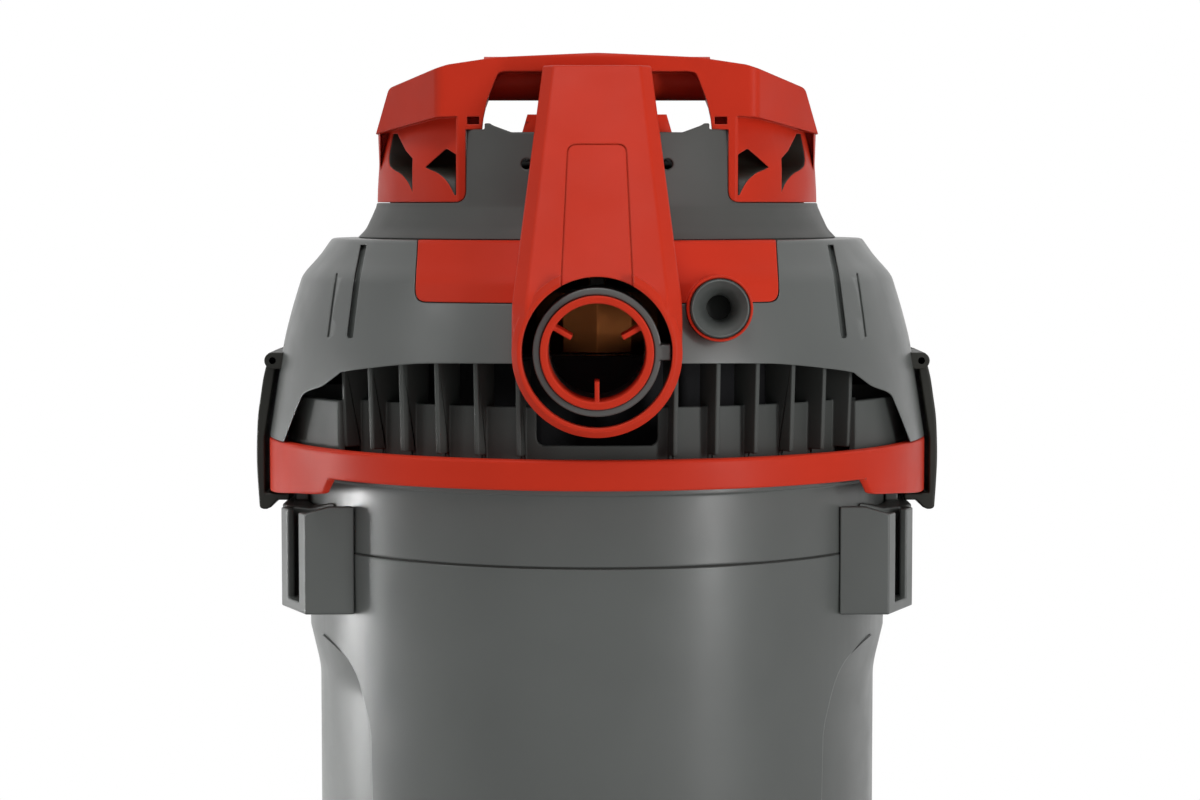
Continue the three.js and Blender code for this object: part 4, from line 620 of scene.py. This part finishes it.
def grilles():
    low, high = 363.3, 396
    vane = [(153, 367.6), (164, 367.6), (164, 370.9), (173.6, 370.9), (175.4, 420.7), (153, 420.7)]
    shield_turns = [math.radians(d) for d in (51.55, 66, 80)]
    deep = 176
    across = deep * math.tan(math.radians(60))
    for name, end in (("rear", -1), ("front", 1)):
        wedge = prism([(0, 0), (across, end * deep), (-across, end * deep)], low, high)
        solids = [met(turned(tube(161, 164, low, high)), wedge)]
        for i in range(6):
            for way in (-1, 1):
                solids.append(spun(prism(vane, -1.3, 1.3, "Y"), end * 90 + way * (13.55 + i * 7.6)))
        for way in (-1, 1):
            plan = [(0, 0)] + [(way * REACH * math.sin(a), end * REACH * math.cos(a)) for a in shield_turns]
            shield = turned(fillet([(173.7, low), (178, low), (178, high, 1), (173.7, high)]))
            solids.append(met(shield, prism(plan, low, high)))
        made = joined(*solids)
        if end < 0:
            notch = fillet([(-31.6, 400), (-31.6, 376, 5), (31.6, 376, 5), (31.6, 400)])
            port = turned(rod(33.3, -FAR, 0), FINE, "Y", PORT)
            made = cut(made, port, prism(notch, -REACH, -100, "Y"))
        piece(name + "_vents", made, "head", [name + "_grille"], "vent_plastic", edge=0.5)


# Rear column with the blow port

COLUMN_BACK = -101.3
COLUMN_FRONT = -126  # at its top; at the port it stands at -REACH


def column_section(half, bevel, front, shrink):
    miter = 0.414 * shrink
    return both_sides([(half - shrink, COLUMN_BACK - shrink), (half - shrink, front + bevel + miter),
                       (half - bevel - miter, front + shrink)])


def column_body(shrink):
    top = column_section(28.8, 5.9, COLUMN_FRONT, shrink)
    base = column_section(43.6, 7.1, -REACH, shrink)

    def between(share):
        return [(x0 + (x1 - x0) * share, y0 + (y1 - y0) * share) for (x0, y0), (x1, y1) in zip(base, top)]

    return loft((base, 426), (base, 440), (between(0.004), 446), (between(0.016), 451),
                (between(0.052), 457), (between(0.1), 462.5), (top, 575))


def head_envelope():
    """The outside of the shell and the cowl, and the gap to them."""
    cowl = [(r + GAP, h) for r, h in cowl_profile()]
    rim = cowl[-1][0]
    return turned([(0, 350), (188.1, 350)] + shell_profile(GAP) + [(137.3, 482.8)] + cowl +
                  [(rim, 545.3), (rim - 3.6, 545.3), (rim - 3.6, 528.3), (0, 528.3)])


def column_front(depth):
    """All that lies before the column's front, and this deep into it."""
    return prism([(COLUMN_FRONT + depth, 575), (depth - REACH, 450), (depth - REACH, 400), (-240, 400),
                  (-240, 575)], -60, 60, "X")


def rear_column():
    boss = turned(fillet([(0, -REACH), (40.6, -REACH, 1), (43.6, -192, 1), (43.6, COLUMN_BACK),
                          (0, COLUMN_BACK)]), FINE * 2, "Y", PORT)
    saddle = prism(both_sides([(37.2, 549.5), (40.5, 538.5), (40.5, 528)]), -112, COLUMN_BACK, "Y")
    recess = turned(rod(PORT_ROOM, -REACH - 2, 0), FINE * 2, "Y", PORT)
    # The inset panel is a shallow pad with a groove round it.
    outer = fillet(both_sides([(15.5, 533, 5), (19, 450), (19, 420)]))
    inner = fillet(both_sides([(14.9, 532.4, 4.5), (18.4, 450), (18.4, 410)]))
    groove = cut(prism(outer, -REACH - 5, 0, "Y"), prism(inner, -REACH - 6, 1, "Y"))
    groove = met(groove, column_front(0.9))
    pad = met(prism(outer, -REACH - 5, 0, "Y"), column_front(0.2))
    hollow = met(column_body(WALL), prism(box(-60, -220, 60, 0), 470, 540))
    skin = rounded(column_body(0), 1.2)
    made = cut(joined(skin, boss, saddle), head_envelope(), hollow, recess, pad, groove)
    piece("column", made, "head", ["rear_column"], "red_plastic", edge=0, angle=30)


def blow_port():
    bore = 25.2
    collar = turned(fillet([(29.4, -190), (33, -190, 0.8), (33, -120), (bore, -120), (bore, -160.7),
                            (29.4, -160.7)]), FINE, "Y", PORT)
    key = prism(box(32, 422, 37.6, 430), -190, -156, "Y")
    piece("port_sleeve", joined(collar, key), "head", ["port_collar"], "grey_plastic", edge=0.5)
    ring = turned(fillet([(bore, -REACH, 0.8), (29.1, -REACH, 0.8), (29.1, -161), (bore, -161)]),
                  FINE, "Y", PORT)
    ribs = [prism(swung(box(15, -1.25, 27.1, 1.25), PORT, math.radians(degrees)), -192, -161, "Y")
            for degrees in (30, 150, 270)]
    piece("port_insert", joined(ring, *ribs), "head", ["port_ring"], "red_plastic", edge=0.5)


def cord_gland():
    flare = curve([(6.5, -163.3), (7.7, -168), (10.4, -173.9), (13.1, -177.4), (14.3, -179)])
    sleeve = fillet([(6.5, -148), (9.6, -148), (9.6, -163.3), (15.3, -177, 1), (15.3, -179, 0.5)])
    made = turned(sleeve + flare[::-1], FINE, "Y", GLAND)
    piece("gland", made, "head", ["cord_gland"], "grey_plastic", edge=0)


# Top cowl

def cowl_profile():
    return curve([(137, 482.8), (132.6, 487.5), (130, 492.5), (127.5, 498), (126, 503), (124, 522)]) + [
        (121, COWL_TOP)]


def top_cowl():
    under = DECK - WALL
    outer = cowl_profile()
    inner = [(r - WALL, h) for r, h in outer if h < under]
    deck = [(118, COWL_TOP), (118, DECK), (0, DECK), (0, under), (inner[-1][0], under)]
    notch = prism(fillet(both_sides([(59, 560), (59, COWL_TOP, 6), (45.7, 540, 4)])), -REACH, 0, "Y")
    front = prism(box(-REACH, 33, REACH, REACH), 534, 560)
    foot = fillet([(70.4, 595), (70.4, 502.4, 6.4), (150, 502.4), (150, 595)])
    cutters = [notch, front]
    for side in (-1, 1):
        cutters.append(turned(rod(2.9, -REACH, -68), SMALL, "Y", (side * 37.5, 523)))
        cutters.append(prism(to_side(side, foot), -REACH, 33.4, "Y"))
        cutters.append(prism(to_side(side, box(60.4, 541.8, 71, 560)), -REACH, -60, "Y"))
    made = cut(turned(outer + deck + inner[::-1]), *cutters)
    piece("cowl", made, "head", ["top_cowl"], "dark_plastic", edge=0.7, angle=35)


# Carry handle

SCOOP = [(0, 0), (0.12, 0.2), (0.3, 0.34), (0.55, 0.42), (0.75, 0.5), (0.9, 0.68), (1, 1)]
POCKETS = ((76, 98.75, 99, 73), (101.25, 121, 75, 36))  # from x, to x, depth of the back below and above
POCKET_LOW, POCKET_TOP = 506.5, 541
FOOT_RADIUS = 125.7
PLATE_LOW, PLATE_TOP = 520.4, 551
PLATE_SLOPE = [(FOOT_RADIUS, PLATE_LOW), (FOOT_RADIUS - 8, PLATE_TOP)]


def handle_body():
    outer = [(54.2, 580.5, 30), (80.3, 576.6, 14), (115.5, 565.8, 5), (124, 540.5, 1.5), (123, 524, 30),
             (125.5, 502.8)]
    inner = [(70.8, 502.8, 6), (70.8, 541.8), (61.9, 541.8), (60.9, 549, 1.5), (59.2, 557),
             (53.3, 572.3, 4), (49.4, 573)]
    outline = fillet([(0, 583)] + both_sides(outer + inner), 6)
    plan = [(86, -101, 8), (127, -34, 10), (127, 33, 3), (70.8, 33), (49.4, -44, 16)]
    plan = fillet([(0, -101)] + both_sides(plan), 6)
    side_view = fillet([(-101, 490), (-101, 583, 3), (-24, 583, 60), (12, 577.4, 30), (33, 543, 8),
                        (33, 490)], 8)
    bow = met(prism(outline, -REACH, REACH, "Y"), prism(plan, 495, 584),
              prism(side_view, -REACH, REACH, "X"))
    underside = prism(both_sides([(127, 600), (127, 540.2), (88, 548.3), (84, 548.6)]), -REACH, REACH, "Y")
    plinth = joined(turned(rod(FOOT_RADIUS, 495, 600)), met(prism(plan, 506, 600), underside))
    return met(bow, plinth)


def foot_pockets(side):
    """The rooms of a foot's two pockets, and dark sheets of painted shade on their curved backs."""
    rooms, shade_sheets = [], []
    for near, far, back_low, back_top in POCKETS:
        left, right = span(side, near, far)
        back = curve(spread(SCOOP, -back_low, POCKET_LOW, back_low - back_top, POCKET_TOP - POCKET_LOW))
        rooms.append(prism([(-REACH, POCKET_LOW)] + back + [(-REACH, POCKET_TOP)], left, right, "X"))
        skin = prism([(y - 0.4, z) for y, z in back] + [(y + 1, z) for y, z in back[::-1]],
                     left + 0.05, right - 0.05, "X")
        within = turned([(0, 500), (FOOT_RADIUS - GAP, 500), (FOOT_RADIUS - GAP, PLATE_LOW),
                         (FOOT_RADIUS - 5.9, POCKET_TOP), (0, POCKET_TOP)])
        shade_sheets.append(met(skin, within))
    return rooms, shade_sheets


def carry_handle():
    body = handle_body()
    grip = turned(rod(12, -62, 62), FINE, "X", (-66, 570.5))
    # The legs' inner faces open a little towards the front of the machine.
    gap = ((61.9, 539), (60.9, 549), (59.2, 557), (54.3, 569.6))
    under = loft(*[([(-w, -102), (w, -102), (1.1 * w, 34), (-1.1 * w, 34)], level) for w, level in gap])
    shade = [(76, PLATE_LOW), (122, PLATE_LOW), (122, 541.3), (88, 548.3), (76, 548.9)]
    hang = [(76, PLATE_TOP), (76, 528.3), (81.6, 531.8, 1.5), (95.1, PLATE_LOW, 0.6), (105.4, 531),
            (111.7, 541.6)]
    cells, pocket_shades, plates = [], [], []
    for side in (-1, 1):
        # Over the pockets the foot's rear leans back, and a plate hangs down from the crown there.
        outside = turned(PLATE_SLOPE + [(FOOT_RADIUS + 15, PLATE_TOP), (FOOT_RADIUS + 15, PLATE_LOW)])
        cells.append(met(prism(to_side(side, shade), -REACH, -20, "Y"), outside))
        skin = turned([(FOOT_RADIUS - 2.5, PLATE_LOW)] + PLATE_SLOPE + [(FOOT_RADIUS - 10.5, PLATE_TOP)])
        plates.append(met(prism(fillet(to_side(side, hang), 4), -REACH, -34, "Y"), skin))
        cells.append(prism(to_side(side, box(63.4, 544.6, 70, 548.6)), -REACH, -90, "Y"))
        rooms, shade_sheets = foot_pockets(side)
        cells += rooms
        pocket_shades += shade_sheets
        cells.append(prism(box(-24, 490, 30, 549), *span(side, 73.8, 115), "X"))
    made = joined(cut(joined(cut(body, under), grip), *cells), *plates)
    piece("handle", made, "head", ["carry_handle"], "red_plastic", edge=0, angle=28)
    # Black sheets in the pockets: painted shade.
    for number, pocket_shade in enumerate(pocket_shades):
        piece(f"handle_pocket_{number + 1}", pocket_shade, "head", [], "black_plastic", edge=0)


# Latches

def latches():
    outer = curve([(185.4, 417.5), (188.8, 405.1), (190.8, 392.7), (192.5, 379.8), (193.2, 360.7),
                   (192.8, 346.5), (191.8, 330.6)], 5)
    outer += [(191.4, 329.4), (189.6, 328.8), (187.7, 328.8), (185.3, 329.8)]
    neck = 411.5
    outline = outer + [(181.5, 334), (174.5, 334), (174.5, 338), (188.5, 338), (188.5, 370.4),
                       (shell_radius(SHELL_LOW) + 0.5, SHELL_LOW), (shell_radius(neck) + 0.5, neck)]
    # The grooves for the fingers are 0.9 mm deep.
    core = [(x - 0.9, z) for x, z in outer[3:-3]] + [(180, 329), (180, 392)]
    for word, side in SIDES:
        body = prism(to_side(side, outline), -30, 30, "Y")
        knuckle = prism(disc(latch_pin(side), 4), -30, 30, "Y")
        bore = prism(disc(latch_pin(side), LATCH_BORE), -60, 60, "Y")
        grooves = [cut(prism(to_side(side, box(186, z, 200, z + 1.1)), -24, 24, "Y"),
                       prism(to_side(side, core), -40, 40, "Y")) for z in (352, 357, 362, 367, 372)]
        made = cut(joined(body, knuckle), bore, *grooves)
        piece("latch_lever_" + word, made, "latch_" + word, ["latch_" + word], "black_plastic", edge=0.8)


# Filter and lower housing

def filter_parts():
    pleats = 56
    star = [on_circle((0, 0), 72.5 if i % 2 else 65, math.pi * i / pleats) for i in range(2 * pleats)]
    rings = [turned(fillet([(0, low), (75, low, 1.5), (75, low + 9, 1.5), (0, low + 9)]))
             for low in (215, 354)]
    made = cut(joined(prism(star, 218, 360), *rings), turned(rod(50.5, 200, 380), FINE))
    piece("filter", made, "head", ["cartridge_filter"], "filter_paper", edge=0)
    cap = turned(fillet([(6.3, 208.7), (78, 208.7, 2), (78, 214.7, 1), (6.3, 214.7)]))
    piece("filter_end_cap", cap, "head", ["filter_cap"], "black_plastic", edge=0.4)
    low, high = 205.4, 208.4
    grip = turned(fillet([(0, low), (20, low, 0.8), (20, high, 0.8), (0, high)]), FINE)
    bar = met(prism(box(-20, -4, 20, 4), 193.4, 206.9), turned(rod(20, 193.4, high), FINE))
    stem = turned(rod(6, low, 269.7), SMALL)
    piece("filter_nut", joined(grip, bar, stem), "filter_knob", ["filter_knob"], "red_plastic", edge=0.7)
    low, high = 363.3, 367.3
    housing = turned(fillet([(12, low), (46.8, low), (46.8, 345.3), (49.8, 345.3), (49.8, low), (157, low),
                             (157, high), (12, high)]))
    piece("housing_floor", housing, "head", ["lower_housing"], "black_plastic", edge=0.4)


# Wheels, casters and chassis

def wheel_solid(side, points):
    """Turned round the rear axle, from places along it that count from the wheel's middle."""
    profile = [(r, side * (WHEEL_X + x), *rest) for r, x, *rest in points]
    return turned(fillet(profile), FINE, "X", REAR_AXLE)


def wheels():
    spoke_hole = fillet([(21, -3.4, 2), (41, -9.5, 3), (41, 9.5, 3), (21, 3.4, 2)], 4)
    for word, side in SIDES:
        body = "wheel_" + word
        tread = wheel_solid(side, [(50, -15), (57, -15, 4), (62, -9, 5), (62, 9, 5), (57, 15, 4), (50, 15)])
        grooves = [turned(tube(61, 63, *span(side, WHEEL_X + x, WHEEL_X + x + 1.6)), FINE, "X", REAR_AXLE)
                   for x in (-5, 3.4)]
        piece("tyre_tread_" + word, cut(tread, *grooves), body, ["tyre_" + word], "tyre", edge=0.4)
        rim = wheel_solid(side, [
            (6.3, -14.7), (14, -14.7, 1), (14, -3, 2), (46.7, -3, 2), (46.7, -14.7), (49.7, -14.7),
            (49.7, 14.7, 1), (46.7, 14.7, 1), (45.7, 3, 2), (16, 3, 3), (14, 14.7, 1), (6.3, 14.7)])
        holes = [prism(swung(spoke_hole, REAR_AXLE, 2 * math.pi * (i + 0.5) / 8),
                       side * WHEEL_X - 9, side * WHEEL_X + 9, "X") for i in range(8)]
        piece("wheel_disc_" + word, cut(rim, *holes), body, ["wheel_hub_" + word], "grey_plastic")
        cap = wheel_solid(side, [(0, 15), (18, 15), (17.4, 16.6, 1.5), (10, 17.4, 6), (0, 17.4)])
        piece("wheel_cap_" + word, cap, body, ["hub_cap_" + word], "red_plastic", edge=0)


def casters():
    half = [(2.8, -8), (12, -8), (13, -6.4, 1), (18.6, -6.4), (19.5, -8, 1), (22, -5, 3)]
    profile = half + [(r, -along, *rest) for r, along, *rest in half[::-1]]
    leg = fillet([(84.75, 15.8, 4), (95.25, 15.8, 4), (96, 24.2, 4), (111, 50, 3), (117, 50), (117, 55),
                  (82.5, 55), (82.5, 41.8, 6), (83.25, 24.2, 5)])
    for word, side in SIDES:
        x = side * CASTER_X
        roller = turned(fillet([(r, x + along, *rest) for r, along, *rest in profile]),
                        FINE, "X", CASTER_AXLE)
        body = "caster_wheel_" + word
        piece("caster_roller_" + word, roller, body, ["caster_wheel_" + word], "rubber", edge=0.3)
        legs = [prism(leg, x + start, x + start + WALL, "X") for start in (-12.5, 9.5)]
        plate = prism(soft_box(x - 12.5, 82.5, x + 12.5, 117, 3), 50, 55)
        stem = turned(rod(5, 52, 77), SMALL, "Z", (x, SWIVEL_Y))
        axle = turned(rod(2.8, x - 30, x + 30), SMALL, "X", CASTER_AXLE)
        made = cut(joined(plate, *legs, stem), axle)
        piece("caster_yoke_" + word, made, "caster_" + word, ["caster_fork_" + word], "black_plastic",
              edge=0.5)


def chassis():
    plate = turned(fillet([(0, 85.7), (147, 85.7), (147, 63.7), (150, 63.7), (150, 91.7, 2), (0, 91.7)]))
    beam = prism(fillet([(-139.2, 91.7), (-143, 84.5, 3), (-135.4, 65.3, 8), (-118.3, 49.7, 5),
                         (-91.7, 49.7, 5), (-74.6, 65.3, 8), (-63.2, 88.1), (-63.2, 91.1)]), -152, 152, "X")
    channel = prism([(-130.8, 85.1), (-115.3, 43.7), (-94.7, 43.7), (-79.2, 85.1)], -128, 128, "X")
    swivels = [(side * CASTER_X, SWIVEL_Y) for side in (-1, 1)]
    sockets = [turned(rod(12, 55.3, 88.7), SMALL, "Z", centre) for centre in swivels]
    bores = [turned(rod(5.3, 43, 77.3), SMALL, "Z", centre) for centre in swivels]
    axle = turned(rod(6.3, -REACH, REACH), SMALL, "X", REAR_AXLE)
    ribs = [met(prism(box(-147, y - 1.25, 147, y + 1.25), 70, 86), turned(rod(148.5, 60, 90)))
            for y in (0, 50)]
    made = joined(cut(joined(plate, cut(beam, channel), *sockets), axle, *bores), *ribs)
    piece("chassis_body", made, "tank", ["chassis"], "black_plastic", edge=0.8)


# Front panel, knob and socket

KNOB_BACK = 176.3


def flap_pin():
    return turned(rod(1.5, 0, REACH), SMALL, "X", FLAP_PIN)


def front_panel():
    y, z = FLAP_PIN
    skin = met(shell_skin(), panel_room(1, 0.5))
    seats = [turned(fillet([(0, 155.1), (23, 155.1), (23, 176, 1.5), (0, 176)]), FINE, "Y", centre)
             for centre in (DIAL, SOCKET)]
    well = turned(rod(18, 161, FAR), FINE, "Y", SOCKET)
    spindle = turned(rod(4.3, 140, FAR), SMALL, "Y", DIAL)
    lugs = []
    for side in (-1, 1):
        left, right = (SOCKET[0] + place for place in span(side, 9, 12))
        lugs.append(prism(disc(FLAP_PIN, 2.4), left, right, "X"))
        lugs.append(prism(box(173, z - 2.4, y, z + 1.2), left, right, "X"))
    ticks = [prism(disc(on_circle(DIAL, 20, math.radians(degrees)), 0.9, 16), 175.4, 180, "Y")
             for degrees in range(150, 391, 60)]
    made = cut(joined(skin, *seats, *lugs), well, spindle, flap_pin(), *ticks)
    piece("front_control_panel", made, "head", ["control_panel"], "dark_plastic", edge=0, angle=38)
    ring = turned(fillet([(15.6, 161.4), (18, 161.4), (18, 176, 1), (16.4, 176, 0.8), (15.6, 174)]),
                  FINE, "Y", SOCKET)
    piece("socket_ring", ring, "head", [], "black_plastic", edge=0.3)


def knob_and_flap():
    body = turned(fillet([(0, KNOB_BACK), (17, KNOB_BACK, 0.8), (17, 179.3, 1), (14, 182.3, 1),
                          (0, 182.3)]), FINE, "Y", DIAL)
    bar = prism(soft_box(-41, 441, -35, 469, 3), 179.3, 188.3, "Y")
    spindle = turned(rod(4, 155.4, 179.3), SMALL, "Y", DIAL)
    mark = prism(box(-38.6, 458, -37.4, 467), 187.8, 190, "Y")
    piece("dial", cut(joined(body, bar, spindle), mark), "mode_knob", ["mode_knob"], "red_plastic")
    lid_front = 178.8
    lid = turned(fillet([(0, KNOB_BACK), (19.4, KNOB_BACK), (19.4, lid_front, 1), (0, lid_front)]),
                 FINE, "Y", SOCKET)
    left, right = 29.3, 46.7
    strap = prism(box(left, SOCKET[1], right, FLAP_PIN[1]), KNOB_BACK, lid_front, "Y")
    barrel = prism(disc(FLAP_PIN, 2.1), left, right, "X")
    lip = prism(fillet([(33, 434.2, 2), (43, 434.2, 2), (43, 440), (33, 440)]), KNOB_BACK, 179.4, "Y")
    made = cut(joined(lid, strap, barrel, lip), flap_pin())
    piece("socket_lid", made, "socket_flap", ["socket_flap"], "black_plastic", edge=0.5)


tank()
brackets()
hose_inlet()
rim_band()
latch_ears()
head_shell()
shell_lining()
rear_panel()
grilles()
rear_column()
blow_port()
cord_gland()
top_cowl()
carry_handle()
latches()
filter_parts()
wheels()
casters()
chassis()
front_panel()
knob_and_flap()


# Floor, light and camera, in metres

def seen(tree):
    """One where the camera, a reflection or a see-through surface meets the backdrop."""
    path = node(tree, "LightPath").outputs
    either = math_node(tree, path["Is Camera Ray"], path["Is Glossy Ray"], "MAXIMUM")
    return math_node(tree, either, path["Is Transmission Ray"], "MAXIMUM")


def stage():
    bm = bmesh.new()
    bmesh.ops.create_grid(bm, x_segments=2, y_segments=2, size=6)
    mesh = bpy.data.meshes.new("floor")
    bm.to_mesh(mesh)
    bm.free()
    floor = placed("floor", mesh)
    made = bpy.data.materials.new("floor")
    made.use_nodes = True
    tree = made.node_tree
    shader = tree.nodes["Principled BSDF"]
    shader.inputs["Base Color"].default_value = linear("#f4f4f4")
    shader.inputs["Roughness"].default_value = 0.8
    # Near the object the floor takes its shadow; further out it fades to the white backdrop.
    spot = node(tree, "TexCoord").outputs["Object"]
    away = node(tree, "VectorMath", {0: spot}, operation="LENGTH").outputs["Value"]
    fade = node(tree, "MapRange", {"Value": away, "From Min": 0.35, "From Max": 0.75},
                interpolation_type="SMOOTHSTEP").outputs[0]
    white = node(tree, "Emission", {"Color": (1, 1, 1, 1), "Strength": 1}).outputs[0]
    amount = math_node(tree, fade, seen(tree), "MULTIPLY")
    mix = node(tree, "MixShader", {0: amount, 1: shader.outputs[0], 2: white}).outputs[0]
    tree.links.new(mix, tree.nodes["Material Output"].inputs["Surface"])
    mesh.materials.append(made)


def lamp(name, place, aim, width, tall, power, cone=180):
    data = bpy.data.lights.new(name, "AREA")
    data.shape = "RECTANGLE"
    data.size, data.size_y, data.energy = width, tall, power
    data.spread = math.radians(cone)
    made = placed(name, data)
    made.location = place
    made.rotation_euler = (Vector(aim) - Vector(place)).to_track_quat("-Z", "Y").to_euler()


def light():
    """A backdrop that looks white and lights the object only weakly, and four lamps."""
    world = bpy.data.worlds.new("studio")
    bpy.context.scene.world = world
    world.use_nodes = True
    tree = world.node_tree
    tree.nodes.clear()
    white = node(tree, "Background", {"Color": (1, 1, 1, 1), "Strength": 1}).outputs[0]
    soft = node(tree, "Background", {"Color": (1, 1, 1, 1), "Strength": 0.16}).outputs[0]
    mix = node(tree, "MixShader", {0: seen(tree), 1: soft, 2: white}).outputs[0]
    out = node(tree, "OutputWorld")
    tree.links.new(mix, out.inputs["Surface"])
    lamp("front", (-0.2, -0.85, 2.25), (0, 0, 0.45), 1.1, 0.7, 15.5)
    lamp("side_right", (1.4, -1.5, 0.5), (0, 0, 0.4), 0.22, 0.9, 15)
    lamp("rim_left", (-1.85, 0.5, 0.12), (0, 0, -0.05), 0.3, 0.4, 1.6, 30)
    lamp("side_left", (-1.4, -0.75, 1.2), (0, 0, 0.46), 0.3, 0.9, 3.2)


def camera():
    """Fitted to the photo's outline: level with Z 500 mm, looking a little down."""
    look_down, roll = 3.87, -0.06
    data = bpy.data.cameras.new("camera")
    data.sensor_width = 36
    data.lens = 85.5
    data.clip_end = 40
    made = placed("camera", data)
    made.location = (0, -1.642, 0.5)
    made.rotation_euler = (math.radians(90 - look_down), 0, math.radians(roll))
    bpy.context.scene.camera = made


stage()
light()
camera()
bpy.context.scene.view_settings.view_transform = "Standard"
